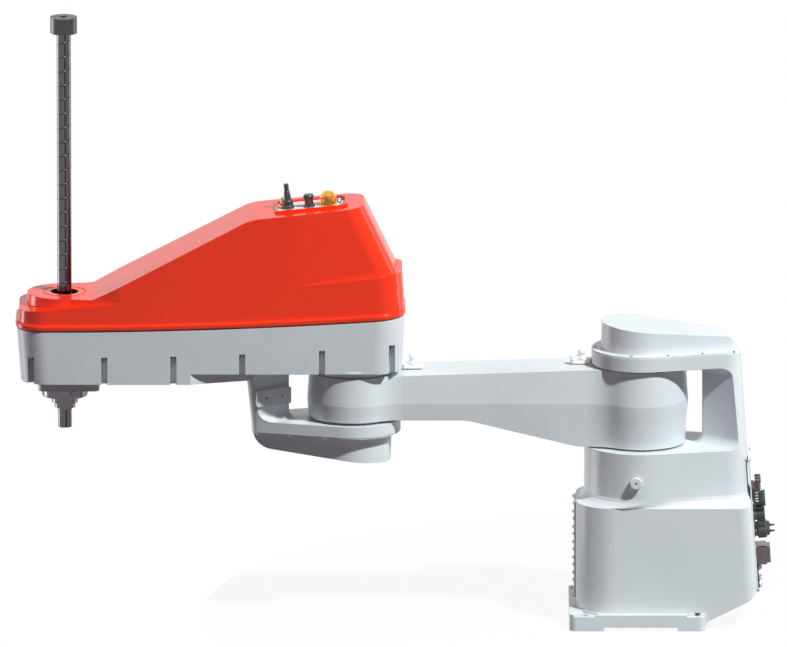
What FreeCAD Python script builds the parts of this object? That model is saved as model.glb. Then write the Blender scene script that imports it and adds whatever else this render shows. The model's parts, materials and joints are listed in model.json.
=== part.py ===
import FreeCAD, Part
import math
import os
from FreeCAD import Vector

os.makedirs("parts", exist_ok=True)

# All sizes are millimetres. Axis 1 stands at the origin, the arm points along +X,
# +Z is up and the mounting surface is z = 0.

# Reach and travel
LINK_1 = 600.0              # axis 1 to axis 2
LINK_2 = 600.0              # axis 2 to the spindle
STROKE = 500.0              # travel of the spindle, downwards from rest
RUN_GAP = 0.3               # radial gap between parts that turn or slide on each other
SEAT = 0.2                  # gap round a screw or plug in its hole
SKIN = 0.05                 # how far a rough outline stands outside the face that trims it

# Foot
FOOT_FRONT = 149.0
FOOT_REAR = -134.0
FOOT_HALF = 135.0
FOOT_THICK = 34.0
FOOT_CORNER = 14.0
FOOT_RECESS = 8.0           # hollow under the foot, open at both sides
FOOT_RECESS_HALF = 77.0
BOLT_SPACING = 235.0
BOLT_R = 6.75
PAD_R = 28.0                # flat pad round each foot bolt
PAD_DEPTH = 4.0

# Lower box of the base
BOX_FRONT = 135.0
BOX_HALF = 118.5
BOX_CORNER = 80.0
BOX_REAR_CORNER = 25.0
BOX_TOP = 258.0
SHOULDER = 20.0             # height of the curved shoulder above the box
REAR_FOOT_X = -247.5        # where the leaning rear face would meet z = 0
REAR_LEAN = 0.0702          # forward lean of the rear face per mm of height
HEEL_SLOPE = 0.5            # rise of the slanted heel behind the foot
HEEL_START = 14.0           # height of the heel at the back of the foot
HEEL_ROUND = 35.0

# Column and upper arm of the base
COLUMN_R = 118.0
COLUMN_TAPER = 12.5
COLUMN_TOP = 373.0
COLUMN_LID = 30.0           # solid top of the column that holds the gear unit
BASE_FLOOR = 10.0           # above the foot
COLUMN_REAR_CORNER = 60.0
ARM_R = 103.0
ARM_TAPER = 15.0
ARM_REAR_CORNER = 40.0
ARM_THICK = 29.0
BASE_WALL = 9.0
NOTCH_TIP = 127.6           # axis to the flat edge of the back wall
NOTCH_TIP_HALF = 12.0
NOTCH_ANGLE = 35.0          # slant of the back wall's inner faces
NOTCH_ROUND = 22.0          # fillet above and below the opening
CUTTER_HALF = 200.0         # half-width of the solids that trim the castings

# Front window and its cover
WINDOW_HALF = 27.0
WINDOW_LOW = 58.0
WINDOW_HIGH = 246.0
FRONT_COVER_LAP = 10.0
FRONT_COVER_THICK = 4.0
FRONT_COVER_ROWS = 7
FRONT_COVER_EDGE = 5.5      # edge of the cover to its screws

# Side plug and rear panel
PLUG_X = 11.0
PLUG_BELOW_TOP = 59.0       # from the top of the column
PLUG_R = 12.5
PLUG_STEM_R = 10.0
PLUG_HEAD = 11.0
PLUG_SOCKET_R = 2.5
PANEL_LOW = 62.0
PANEL_HIGH = 352.0
PANEL_HALF = 54.0
PANEL_THICK = 3.0
PANEL_CORNER = 8.0
PANEL_EDGE = 5.0            # edge of the panel to its screws
PANEL_POCKET_DEPTH = 17.0
PANEL_SCREW_ROWS = 4

# Rear connectors: height of each row and places across the panel
ELBOW_ROW = (278.0, (-24.0, 0.0, 24.0))
PUSH_IN_ROW = (252.0, (-36.0, -12.0, 12.0, 36.0))
SOCKET_ROW = (223.0, (-26.0, 26.0))
POINTED_ROW = (187.0, (-26.0, 26.0))
POWER_Z = 135.0
BLANK_ROWS = ((98.0, (-30.0, 30.0)), (76.0, (-30.0, 30.0)))
SOCKET_R = 11.0
SOCKET_LENGTH = 24.0

# Link 1
BARREL_1_R = 98.5
BARREL_1_HEIGHT = 164.0
BARREL_1_GAP = 4.0          # above the column and below the upper arm
BARREL_2_R = 95.0
BARREL_2_HEIGHT = 94.0
BARREL_2_DROP = 13.0        # from the top of one barrel to the top of the other
BEAM_HALF = 65.0
BEAM_BLEND = 100.0
CREASE_UP = 92.0            # parting line above the underside of the first barrel
LINK_1_DRAFT = 0.07         # draws in per mm above and below the parting line
LINK_1_WALL = 9.0
BELLY_START = 132.0         # where the underside starts to rise
BELLY_END = 363.0
BELLY_ROUND = 110.0
TOP_SLOPE_START = 100.0

# Gear units and journals
GEAR_R = 82.0
GEAR_HEIGHT = 42.0
OUTPUT_R = 58.0
MOTOR_1_SIDE = 110.0
MOTOR_1_LENGTH = 150.0
MOTOR_2_SIDE = 90.0
MOTOR_2_LENGTH = 118.0
JOURNAL_R = 34.0
JOURNAL_BORE = 20.0
JOURNAL_DEPTH = 26.0        # how deep a journal sits in its barrel
JOURNAL_FLANGE = 12.0       # how far its flange stands out
JOURNAL_FLANGE_THICK = 6.0
BEARING_WIDTH = 14.0
BEARING_WALL = 11.0
BEARING_OUT = JOURNAL_R + BEARING_WALL
BEARING_COVER = 6.0         # casting left below the upper bearing
ROLLERS = 12
GEAR_SINK = 3.0             # casting left over the gear unit
GEAR_GRIP = 16.0            # how far the output flange reaches into the gear unit
GEAR_HUB_BORE = 18.0
MOTOR_SHAFT_1_R = 12.0

# Link 2 casting
HOUSING_GAP = 3.0           # between the second barrel and the ring above it
HOUSING_HEIGHT = 90.5       # floor of the housing to the split line at its front
HOUSING_REAR = -106.5       # from axis 2
HOUSING_FRONT = 98.5        # from the spindle
HOUSING_HALF = 102.0
HOUSING_FRONT_CORNER = 57.0
HOUSING_REAR_CORNER = 60.0
HOUSING_DRAFT = 0.045       # draws in per mm downwards
HOUSING_NOSE_DRAFT = 1.6    # and this many times as much at the front
HOUSING_WALL = 7.0
FLOOR_THICK = 8.0
BELLY_DEPTH = 22.0          # the front part hangs this far below the floor
BELLY_FRONT_X = 335.0       # from axis 2, where the deep part has its full width
BOSS_HEIGHT = 9.0           # ring under the floor round axis 2
BOSS_R = 92.0
SPLIT_RISE = 23.5           # how much higher it is at the back
SPLIT_FLAT = 630.0          # from axis 2, where the split line starts to rise
SPLIT_REAR = -67.0          # from axis 2, where it has its full rise
SPLIT_REACH = 40.0          # how far the split cutter stands past the housing
FORK_GAP = 6.0              # under the second barrel
FORK_THICK = 24.0
FORK_R = 100.0
FORK_TAPER = 16.5
FORK_NECK_TAPER = 11.5
FORK_FRONT = 223.0          # axis 2 to the front of the neck
FORK_FRONT_LEAN = 13.0
FORK_CORNER = 16.0
FORK_NECK_HALF = 58.0
FORK_TIP = 133.0
FORK_ROUND = 20.0
FORK_ANGLE = 31.0           # slant of the neck's inner faces
FORK_LID = 4.0              # casting left over the lower bearing

# Screw slots of the arm cover
SLOT_X = (-81.4, 64.0, 230.0, 373.0, 516.6, 668.6)   # from axis 2
SLOT_WIDTH = 12.5
SLOT_DEPTH = 12.0           # at the underside
SLOT_BELOW_SPLIT = 55.0
PILLAR_HALF = 11.0
PILLAR_DEPTH = 22.0
SCREW_INSET = 7.0           # side of the housing to the screws of its cover

# End covers of the base and of the fork
END_BRIM = 3.0
END_BRIM_INSET = 1.0
END_BODY_INSET = 19.0
END_BODY_LEAN = 2.0         # extra taper of the body, degrees
END_BODY_SHORT = 6.0        # far end of the body inside the brim
END_HEIGHT = 49.0           # above the brim at the axis
END_SLOPE = 0.105
END_ROUND = 28.0
END_WALL = 3.0
END_DRAFT = 0.03
END_SCREW_INSET = 7.0
END_SCREW_REAR = 12.0       # last screws, from the far end
END_SCREW_FRONT = 21.0      # screws beside the round nose, from the axis
LOWER_HEIGHT = 52.5
LOWER_ROUND = 44.0
LOWER_BODY_LEAN = -1.0
LOWER_BODY_SHORT = 0.5

# Arm cover
COVER_GAP = 1.5             # seal between the housing and its cover
COVER_WALL = 3.5
RIM_OUT = 3.0
RIM_HEIGHT = 13.0
RIM_ROUND = 4.5
COVER_HALF = 101.0
COVER_DRAFT = 0.0575
SKIRT_REAR = -109.0         # from axis 2
SKIRT_FRONT = 96.5          # from the spindle
SKIRT_HEIGHT = 39.5         # above the split line at the front
SKIRT_SLOPE = 0.1
TURRET_R = 81.0             # round front of the upper body, at the split line
TURRET_HEIGHT = 65.0
FLARE_X = 485.0             # from axis 2, where the upper body has its full width
RAMP_START = 541.0
RAMP_TOP = 212.0
RAMP_ANGLE = 27.5
PLATEAU_SLOPE = 0.0986
PLATEAU_END = -23.4
REAR_SLANT = 25.6
REAR_TAPER_X = 118.0
REAR_HALF = 91.0
REAR_CORNER = 45.0
TOP_FILLET = 8.0
SHAFT_HOLE = 29.0
HOLE_GROOVE = 46.0

# Spindle
SHAFT_R = 15.0
SHAFT_BORE = 7.0
SHAFT_LENGTH = 845.0
SHAFT_TIP = 42.5            # below the lower collar
TOOL_END_R = 14.5           # ground end that takes the tool flange
TOOL_END_LENGTH = 36.0
SPLINE_R = 2.0
SPLINES = 3
UPPER_COLLAR_R = 28.0
COLLAR_SLIT = 2.0
LOWER_COLLAR_R = 22.0
LOWER_COLLAR_HEIGHT = 10.0
COLLAR_GAP = 0.5            # between the nut and the lower collar
COLLAR_CAP = 28.0           # how far the upper collar stands above the shaft
COLLAR_GRIP = 6.0           # how far it reaches down round the shaft
NUT_NOSE_R = 27.0
NUT_NOSE_HEIGHT = 14.0
GUIDE_RING_R = 48.0
GUIDE_RING_HEIGHT = 22.0
BLOCK_SIDE = 128.0
BLOCK_HEIGHT = 22.0
BLOCK_CORNER = 14.0

# Belt drives
TOOTH_PITCH = 5.0
TOOTH_DEPTH = 1.8
NUT_TEETH = 48
MOTOR_TEETH = 24
BELT_WIDTH = 16.0
BELT_THICK = 2.0
PULLEY_FLANGE = 2.0
ROLL_PULLEY_UP = 20.0       # above the underside of the housing
PULLEY_STEP = 32.0          # from one belt drive to the next
DRIVE_PLATE_UP = 30.0       # above the upper pulley
DRIVE_PLATE_THICK = 12.0
DRIVE_MARGIN = 6.0
LEG_R = 6.0
LEG_Y = 45.0
NUT_OVERHANG = 43.0         # of the ball nut above the drive plate
LIFT_MOTOR_X = 420.0        # from axis 2
ROLL_MOTOR_X = 300.0
DRIVE_MOTOR_SIDE = 78.0
DRIVE_MOTOR_LENGTH = 100.0
MOTOR_SHAFT_R = 7.0
BALL_NUT_R = 24.0

# Connector plate on top of the arm cover
PLATE_X = 86.0              # centre, from axis 2
PLATE_LENGTH = 140.0
PLATE_WIDTH = 90.0
PLATE_THICK = 3.0
LIP_WIDTH = 6.0
LIP_HEIGHT = 5.0
LAMP_R = 17.5
LAMP_WALL = 2.0
LAMP_SIDE = 12.0            # straight height below the dome
LAMP_X = -36.0              # from the plate's centre
LAMP_Y = 6.0
RING_R = 6.4
RING_WIRE = 1.2

# Bracket plate on the neck of the fork
TOOL_PLATE_LENGTH = 82.0
TOOL_PLATE_HEIGHT = 35.0
TOOL_PLATE_THICK = 6.0
TOOL_PLATE_ALONG = 39.0
TOOL_PLATE_UP = 50.0        # centre, above the fork
TOOL_HOLE_SPACING = 37.0
TOOL_HOLE_R = 3.3

# Screws
COVER_SCREW = (2.5, 4.5, 5.0)      # shank radius, head radius, head height
SMALL_SCREW = (1.5, 3.0, 2.2)
PANEL_SCREW = (1.5, 3.2, 3.0)
SOCKET_START = 0.4          # the socket starts at this share of the head's height
RING_SCREW = (3.0, 5.0, 3.0)

# Heights that follow from the sizes above
Z_BARREL_1 = COLUMN_TOP + BARREL_1_GAP
Z_BARREL_1_TOP = Z_BARREL_1 + BARREL_1_HEIGHT
Z_ARM = Z_BARREL_1_TOP + BARREL_1_GAP
Z_ARM_TOP = Z_ARM + ARM_THICK
Z_BARREL_2_TOP = Z_BARREL_1_TOP - BARREL_2_DROP
Z_BARREL_2 = Z_BARREL_2_TOP - BARREL_2_HEIGHT
Z_CREASE = Z_BARREL_1 + CREASE_UP
Z_FORK_TOP = Z_BARREL_2 - FORK_GAP
Z_FORK = Z_FORK_TOP - FORK_THICK
HOUSING_FLOOR = Z_BARREL_2_TOP + HOUSING_GAP + BOSS_HEIGHT
SPLIT_FRONT = HOUSING_FLOOR + HOUSING_HEIGHT
Z_BELLY = HOUSING_FLOOR - BELLY_DEPTH
SPINDLE_X = LINK_1 + LINK_2
Z_BLOCK = Z_BELLY - BLOCK_HEIGHT
Z_GUIDE_RING = Z_BLOCK - GUIDE_RING_HEIGHT
Z_NUT_NOSE = Z_GUIDE_RING - NUT_NOSE_HEIGHT
Z_LOWER_COLLAR = Z_NUT_NOSE - LOWER_COLLAR_HEIGHT - COLLAR_GAP
SHAFT_BOTTOM = Z_LOWER_COLLAR - SHAFT_TIP
SHAFT_TOP = SHAFT_BOTTOM + SHAFT_LENGTH
SPINDLE_BEARING_R = NUT_NOSE_R + RUN_GAP + BEARING_WALL
ROLL_PULLEY_Z = Z_BELLY + ROLL_PULLEY_UP
LIFT_PULLEY_Z = ROLL_PULLEY_Z + PULLEY_STEP
DRIVE_PLATE_Z = LIFT_PULLEY_Z + DRIVE_PLATE_UP
DRIVE_PLATE_TOP = DRIVE_PLATE_Z + DRIVE_PLATE_THICK
BALL_NUT_TOP = DRIVE_PLATE_TOP + NUT_OVERHANG
PLUG_Z = COLUMN_TOP - PLUG_BELOW_TOP
TOOL_PLATE_Z = Z_FORK_TOP + TOOL_PLATE_UP

nodes = {}


def box(x0, x1, y0, y1, z0, z1):
    return Part.makeBox(x1 - x0, y1 - y0, z1 - z0, Vector(x0, y0, z0))


def cylinder(r, z0, z1, x=0.0, y=0.0):
    return Part.makeCylinder(r, z1 - z0, Vector(x, y, z0))


def tube(r_out, r_in, z0, z1, x=0.0, y=0.0):
    return cylinder(r_out, z0, z1, x, y).cut(cylinder(r_in, z0 - 1, z1 + 1, x, y))


def fuse(shapes):
    body = shapes[0]
    if len(shapes) > 1:
        body = body.multiFuse(shapes[1:])
    return body.removeSplitter()


def rounded_wire(points, radii):
    """Closed wire through the points, each corner replaced by an arc of its radius."""
    count = len(points)
    starts = []
    ends = []
    middles = []
    for i in range(count):
        corner = points[i]
        before = (points[i - 1] - corner).normalize()
        after = (points[(i + 1) % count] - corner).normalize()
        if radii[i] <= 0:
            starts.append(corner)
            ends.append(corner)
            middles.append(None)
            continue
        half = before.getAngle(after) / 2
        reach = radii[i] / math.tan(half)
        inward = (before + after).normalize()
        starts.append(corner + before * reach)
        ends.append(corner + after * reach)
        middles.append(corner + inward * (radii[i] / math.sin(half) - radii[i]))
    edges = []
    for i in range(count):
        if middles[i] is not None:
            edges.append(Part.Arc(starts[i], middles[i], ends[i]).toShape())
        edges.append(Part.makeLine(ends[i], starts[(i + 1) % count]))
    return Part.Wire(edges)


def flat_points(pairs, z):
    return [Vector(x, y, z) for x, y in pairs]


def side_points(pairs, y):
    return [Vector(x, y, z) for x, z in pairs]


def prism(wire, direction):
    return Part.Face(wire).extrude(direction)


def plan_prism(pairs, radii, z0, z1):
    return prism(rounded_wire(flat_points(pairs, z0), radii), Vector(0, 0, z1 - z0))


def side_prism(pairs, radii, half):
    return prism(rounded_wire(side_points(pairs, -half), radii), Vector(0, 2 * half, 0))


def rounded_plate(x0, x1, half, radius, z0, z1):
    pairs = [(x1, -half), (x1, half), (x0, half), (x0, -half)]
    return plan_prism(pairs, [radius] * 4, z0, z1)


def loft(wires):
    return Part.makeLoft(wires, True, True)


def outline(z, front, half_front, rear, half_rear, r_front, r_rear):
    """Four-cornered plan outline, symmetric about the XZ plane."""
    pairs = [(front, -half_front), (front, half_front), (rear, half_rear), (rear, -half_rear)]
    return rounded_wire(flat_points(pairs, z), [r_front, r_front, r_rear, r_rear])


def nose_half(r, taper):
    return r * (1 + math.sin(math.radians(taper))) / math.cos(math.radians(taper))


def taper_half(r, taper, distance):
    angle = math.radians(taper)
    return r / math.cos(angle) - math.tan(angle) * distance


def nose_shape(r, taper, far, r_far):
    """Sizes of an outline with a round nose on the axis and sides that taper to its far end."""
    far_half = taper_half(r, taper, abs(far))
    side = 1.0 if far < 0 else -1.0
    return (side * r, nose_half(r, taper), far, far_half, r - 0.5, r_far)


def shifted_outline(z, shape, cx=0.0):
    front, half_front, rear, half_rear, r_front, r_rear = shape
    return outline(z, front + cx, half_front, rear + cx, half_rear, r_front, r_rear)


def mix(a, b, share):
    return tuple(p + (q - p) * share for p, q in zip(a, b))


def hexagon(r, depth):
    """Six-sided bar standing on z = 0, r to its corners."""
    corners = []
    for i in range(6):
        angle = math.radians(60 * i)
        corners.append(Vector(r * math.cos(angle), r * math.sin(angle), 0))
    return Part.Face(Part.makePolygon(corners + [corners[0]])).extrude(Vector(0, 0, depth))


def screw(sizes, length, at, direction):
    """Socket screw whose head sits on the point and whose shank runs against direction."""
    shank_r, head_r, head_h = sizes
    shank = cylinder(shank_r, -length, 0)
    socket = hexagon(shank_r, head_h)
    socket.translate(Vector(0, 0, head_h * SOCKET_START))
    piece = shank.fuse(cylinder(head_r, 0, head_h)).cut(socket).removeSplitter()
    piece.Placement = FreeCAD.Placement(at, FreeCAD.Rotation(Vector(0, 0, 1), direction))
    return piece


def screw_hole(sizes, length, at, direction):
    return Part.makeCylinder(sizes[0] + SEAT, length + 1, at + direction, -direction)


def rear_x(z):
    return REAR_FOOT_X + REAR_LEAN * z


def split_z(x):
    """Height of the split line between the arm housing and its cover at x from axis 2."""
    run = max(0.0, (SPLIT_FLAT - x) / (SPLIT_FLAT - SPLIT_REAR))
    return SPLIT_FRONT + SPLIT_RISE * run * run


def split_cut(offset, top):
    """Everything above (top) or below the split line, shifted up by offset."""
    rear = HOUSING_REAR - SPLIT_REACH
    front = LINK_2 + HOUSING_FRONT + SPLIT_REACH + SPLIT_FLAT
    middle = (SPLIT_FLAT + rear) / 2
    far_z = SPLIT_FRONT + (2 * CUTTER_HALF if top else -2 * CUTTER_HALF)
    half = HOUSING_HALF + SPLIT_REACH
    at = [Vector(LINK_1 + x, -half, split_z(x) + offset) for x in (rear, middle, SPLIT_FLAT, front)]
    corner_1 = Vector(at[3].x, -half, far_z)
    corner_2 = Vector(at[0].x, -half, far_z)
    edges = [
        Part.Arc(at[0], at[1], at[2]).toShape(),
        Part.makeLine(at[2], at[3]),
        Part.makeLine(at[3], corner_1),
        Part.makeLine(corner_1, corner_2),
        Part.makeLine(corner_2, at[0]),
    ]
    return prism(Part.Wire(edges), Vector(0, 2 * half, 0))


def notch(tip, angle, side, z0, z1, fillet):
    """Space in front of a back wall: side is +1 when the wall stands at -X of the axis."""
    reach = 2 * CUTTER_HALF
    run = reach - NOTCH_TIP_HALF
    back = tip + run / math.tan(math.radians(angle))
    pairs = [
        (side * reach, -reach), (side * reach, reach), (-side * back, reach),
        (-side * tip, NOTCH_TIP_HALF), (-side * tip, -NOTCH_TIP_HALF), (-side * back, -reach),
    ]
    block = plan_prism(pairs, [0, 0, 0, 9.0, 9.0, 0], z0, z1)
    wall_edges = []
    for edge in block.Edges:
        box_ = edge.BoundBox
        flat = box_.ZLength < 0.01 and (abs(box_.ZMin - z0) < 0.01 or abs(box_.ZMin - z1) < 0.01)
        centre = edge.CenterOfMass
        if flat and -side * centre.x > tip - 1 and abs(centre.y) < reach - 1:
            wall_edges.append(edge)
    return block.makeFillet(fillet, wall_edges)


def base_section(z, kind, inset=0.0):
    rear = rear_x(z) - SKIN + inset
    box_sizes = (
        BOX_FRONT - inset, BOX_HALF - inset, rear, BOX_HALF - inset,
        BOX_CORNER - inset, BOX_REAR_CORNER - inset,
    )
    column = nose_shape(COLUMN_R - inset, COLUMN_TAPER, rear, COLUMN_REAR_CORNER - inset)
    arm = nose_shape(ARM_R - inset, ARM_TAPER, rear, ARM_REAR_CORNER - inset)
    if kind <= 1:
        return shifted_outline(z, mix(box_sizes, column, kind))
    return shifted_outline(z, mix(column, arm, kind - 1))


def base_envelope(z_low, z_high, inset=0.0):
    """Lower box, curved shoulder, column and upper arm as one stack of outlines."""
    sections = [base_section(z_low, 0, inset)]
    for step in range(5):
        angle = math.radians(22.5 * step)
        z = BOX_TOP + SHOULDER * (1 - math.cos(angle))
        sections.append(base_section(z, math.sin(angle), inset))
    if z_high <= COLUMN_TOP:
        sections.append(base_section(z_high, 1, inset))
    else:
        sections.append(base_section(COLUMN_TOP, 1, inset))
        sections.append(base_section(Z_ARM, 2, inset))
        sections.append(base_section(z_high, 2, inset))
    return loft(sections)


def base_profile(inset=0.0):
    """Side view of the base, with the slanted heel and the leaning rear face."""
    heel_low = HEEL_START + inset * 1.1
    lean = REAR_LEAN
    corner_x = (REAR_FOOT_X + inset + lean * (heel_low + HEEL_SLOPE * FOOT_REAR)) / (1 + lean * HEEL_SLOPE)
    corner_z = heel_low + HEEL_SLOPE * (FOOT_REAR - corner_x)
    top = Z_ARM_TOP + 20
    pairs = [
        (CUTTER_HALF, -5), (CUTTER_HALF, top), (rear_x(top) + inset, top), (corner_x, corner_z),
        (FOOT_REAR - 4, heel_low + HEEL_SLOPE * 4), (FOOT_REAR - 4, -5),
    ]
    return side_prism(pairs, [0, 0, 0, HEEL_ROUND - inset, 0, 0], CUTTER_HALF)


def build_base_casting():
    body = base_envelope(HEEL_START - 4, Z_ARM_TOP).common(base_profile())
    body = body.cut(notch(NOTCH_TIP, NOTCH_ANGLE, 1, COLUMN_TOP, Z_ARM, NOTCH_ROUND))
    foot = rounded_plate(FOOT_REAR, FOOT_FRONT, FOOT_HALF, FOOT_CORNER, 0, FOOT_THICK)
    body = fuse([body, foot])
    # hollow for the motor, open at the front window and through the gear seat
    inside = base_envelope(FOOT_THICK + BASE_FLOOR, COLUMN_TOP - COLUMN_LID, BASE_WALL)
    inside = inside.common(base_profile(BASE_WALL))
    body = body.cut(inside)
    tools = [
        cylinder(GEAR_R + SEAT, COLUMN_TOP - COLUMN_LID - 1, COLUMN_TOP - GEAR_SINK),
        cylinder(OUTPUT_R + 2, COLUMN_TOP - GEAR_SINK - 1, COLUMN_TOP + 1),
        box(-FOOT_RECESS_HALF, FOOT_RECESS_HALF, -CUTTER_HALF, CUTTER_HALF, -1, FOOT_RECESS),
        box(BOX_FRONT - 20, BOX_FRONT + 5, -WINDOW_HALF, WINDOW_HALF, WINDOW_LOW, WINDOW_HIGH),
        cylinder(BEARING_OUT + SEAT, Z_ARM + BEARING_COVER, Z_ARM_TOP + 1),
        cylinder(JOURNAL_R + 3, Z_ARM - 1, Z_ARM + BEARING_COVER + 1),
    ]
    for sx in (-1, 1):
        for sy in (-1, 1):
            x = sx * BOLT_SPACING / 2
            y = sy * BOLT_SPACING / 2
            tools.append(cylinder(BOLT_R, -1, FOOT_THICK + 1, x, y))
            pad = cylinder(PAD_R, FOOT_THICK - PAD_DEPTH, FOOT_THICK + 1, x, y)
            tools.append(pad.cut(base_envelope(HEEL_START - 4, BOX_TOP - 1, -4.0)))
    return body.cut(tools).removeSplitter()


def on_plane(shape, origin, normal, forward):
    """Stand a shape that was drawn on the XY plane on another plane."""
    side = normal.cross(forward)
    placed = shape.copy()
    frame = FreeCAD.Placement(origin, FreeCAD.Rotation(forward, side, normal, "ZXY"))
    placed.Placement = frame.multiply(shape.Placement)
    return placed


def rear_frame(z, y=0.0, out=0.0):
    lean = math.atan(REAR_LEAN)
    normal = Vector(-math.cos(lean), 0, math.sin(lean))
    up = Vector(math.sin(lean), 0, math.cos(lean))
    return Vector(rear_x(z), y, z) + normal * out, normal, up


def on_rear(shape, z, y=0.0, out=0.0):
    origin, normal, up = rear_frame(z, y, out)
    return on_plane(shape, origin, normal, up)


def build_front_cover():
    low = WINDOW_LOW - FRONT_COVER_LAP
    high = WINDOW_HIGH + FRONT_COVER_LAP
    half = WINDOW_HALF + FRONT_COVER_LAP
    pairs = [(-half, low), (half, low), (half, high), (-half, high)]
    points = [Vector(BOX_FRONT, y, z) for y, z in pairs]
    plate = prism(rounded_wire(points, [6] * 4), Vector(FRONT_COVER_THICK, 0, 0))
    screws = []
    holes = []
    rows = FRONT_COVER_ROWS
    for row in range(rows):
        z = low + FRONT_COVER_EDGE + (high - low - 2 * FRONT_COVER_EDGE) * row / (rows - 1)
        for y in (-half + FRONT_COVER_EDGE, half - FRONT_COVER_EDGE):
            at = Vector(BOX_FRONT + FRONT_COVER_THICK, y, z)
            screws.append(screw(PANEL_SCREW, FRONT_COVER_THICK + 6, at, Vector(1, 0, 0)))
            holes.append(screw_hole(PANEL_SCREW, FRONT_COVER_THICK + 7, at, Vector(1, 0, 0)))
    nodes["base_casting"] = nodes["base_casting"].cut(holes)
    nodes["front_access_cover"] = plate.cut(holes)
    nodes["front_cover_screws"] = Part.makeCompound(screws)


def end_cover(nose_r, taper, far, far_r, height, round_r, lean, short):
    """Closed end cover standing on z = 0, nose towards +X, and its screw places."""
    brim_shape = nose_shape(nose_r - END_BRIM_INSET, taper, -far + END_BRIM_INSET, far_r)
    brim = prism(shifted_outline(0, brim_shape), Vector(0, 0, END_BRIM))
    body_r = nose_r - END_BODY_INSET
    body_far = far - short

    def shell(inset):
        top = height + 40
        sizes = nose_shape(body_r - inset, taper + lean, -body_far + inset, far_r * 0.6)
        upper = nose_shape(body_r - inset - END_DRAFT * top, taper + lean, -body_far + inset, far_r * 0.6)
        solid = loft([shifted_outline(0, sizes), shifted_outline(top, upper)])
        z_nose = END_BRIM + height + END_SLOPE * nose_r - inset
        z_far = END_BRIM + height - END_SLOPE * far - inset
        pairs = [(nose_r, -1), (nose_r, z_nose), (-body_far + inset, z_far), (-body_far + inset, -1)]
        return solid.common(side_prism(pairs, [0, 0, round_r - inset, 0], nose_r + 20))

    body = fuse([brim, shell(0)])
    mouth = nose_shape(body_r - END_WALL, taper + lean, -body_far + END_WALL, far_r * 0.5)
    cover = body.cut(shell(END_WALL)).cut(prism(shifted_outline(-1, mouth), Vector(0, 0, END_BRIM + 2)))
    places = []
    edge_r = nose_r - END_SCREW_INSET
    for x in (-far + END_SCREW_REAR, -far * 0.62, -far * 0.27, END_SCREW_FRONT):
        half = taper_half(edge_r, taper, abs(x)) if x < 0 else math.sqrt(edge_r ** 2 - x * x)
        places += [(x, half), (x, -half)]
    places.append((edge_r, 0.0))
    return cover.removeSplitter(), places


def build_end_covers():
    rear = -rear_x(Z_ARM_TOP) - END_BRIM_INSET * 2
    cover, places = end_cover(
        ARM_R, ARM_TAPER, rear, ARM_REAR_CORNER, END_HEIGHT, END_ROUND, END_BODY_LEAN, END_BODY_SHORT)
    cover.translate(Vector(0, 0, Z_ARM_TOP))
    up = Vector(0, 0, 1)
    screws = []
    holes = []
    for x, y in places:
        at = Vector(x, y, Z_ARM_TOP + END_BRIM)
        screws.append(screw(SMALL_SCREW, 10, at, up))
        holes.append(screw_hole(SMALL_SCREW, 11, at, up))
    nodes["base_top_cover"] = cover.cut(holes)
    nodes["top_cover_screws"] = Part.makeCompound(screws)
    nodes["base_casting"] = nodes["base_casting"].cut(holes)

    far = FORK_FRONT - FORK_FRONT_LEAN
    lower, places = end_cover(
        FORK_R, FORK_TAPER, far, FORK_CORNER, LOWER_HEIGHT, LOWER_ROUND, LOWER_BODY_LEAN, LOWER_BODY_SHORT)
    lower.rotate(Vector(0, 0, 0), Vector(0, 1, 0), 180)
    lower.translate(Vector(LINK_1, 0, Z_FORK))
    down = Vector(0, 0, -1)
    screws = []
    holes = []
    for x, y in places:
        at = Vector(LINK_1 - x, y, Z_FORK - END_BRIM)
        screws.append(screw(SMALL_SCREW, 10, at, down))
        holes.append(screw_hole(SMALL_SCREW, 11, at, down))
    nodes["lower_cover"] = lower.cut(holes)
    nodes["lower_cover_screws"] = Part.makeCompound(screws)
    nodes["link_2_casting"] = nodes["link_2_casting"].cut(holes)


def build_side_plug():
    wall_y = taper_half(COLUMN_R, COLUMN_TAPER, 0) - 1.0
    out = Vector(0, 1, 0)

    def bar(r, y, length):
        return Part.makeCylinder(r, length, Vector(PLUG_X, wall_y + y, PLUG_Z), out)

    stem_depth = BASE_WALL - 3
    head = bar(PLUG_R, 0, PLUG_HEAD)
    top_y = wall_y + PLUG_HEAD
    rim = [e for e in head.Edges if abs(e.CenterOfMass.y - top_y) < 0.01 and e.Length > PLUG_R]
    head = head.makeFillet(2.5, rim)
    plug = fuse([bar(PLUG_STEM_R, -stem_depth, stem_depth), head])
    nodes["side_plug"] = plug.cut(bar(PLUG_SOCKET_R, PLUG_HEAD / 2, PLUG_HEAD))
    seat = bar(PLUG_STEM_R + SEAT, -BASE_WALL - 3, BASE_WALL + 5)
    nodes["base_casting"] = nodes["base_casting"].cut([seat, bar(PLUG_R + SEAT, 0, PLUG_HEAD + 3)])


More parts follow.
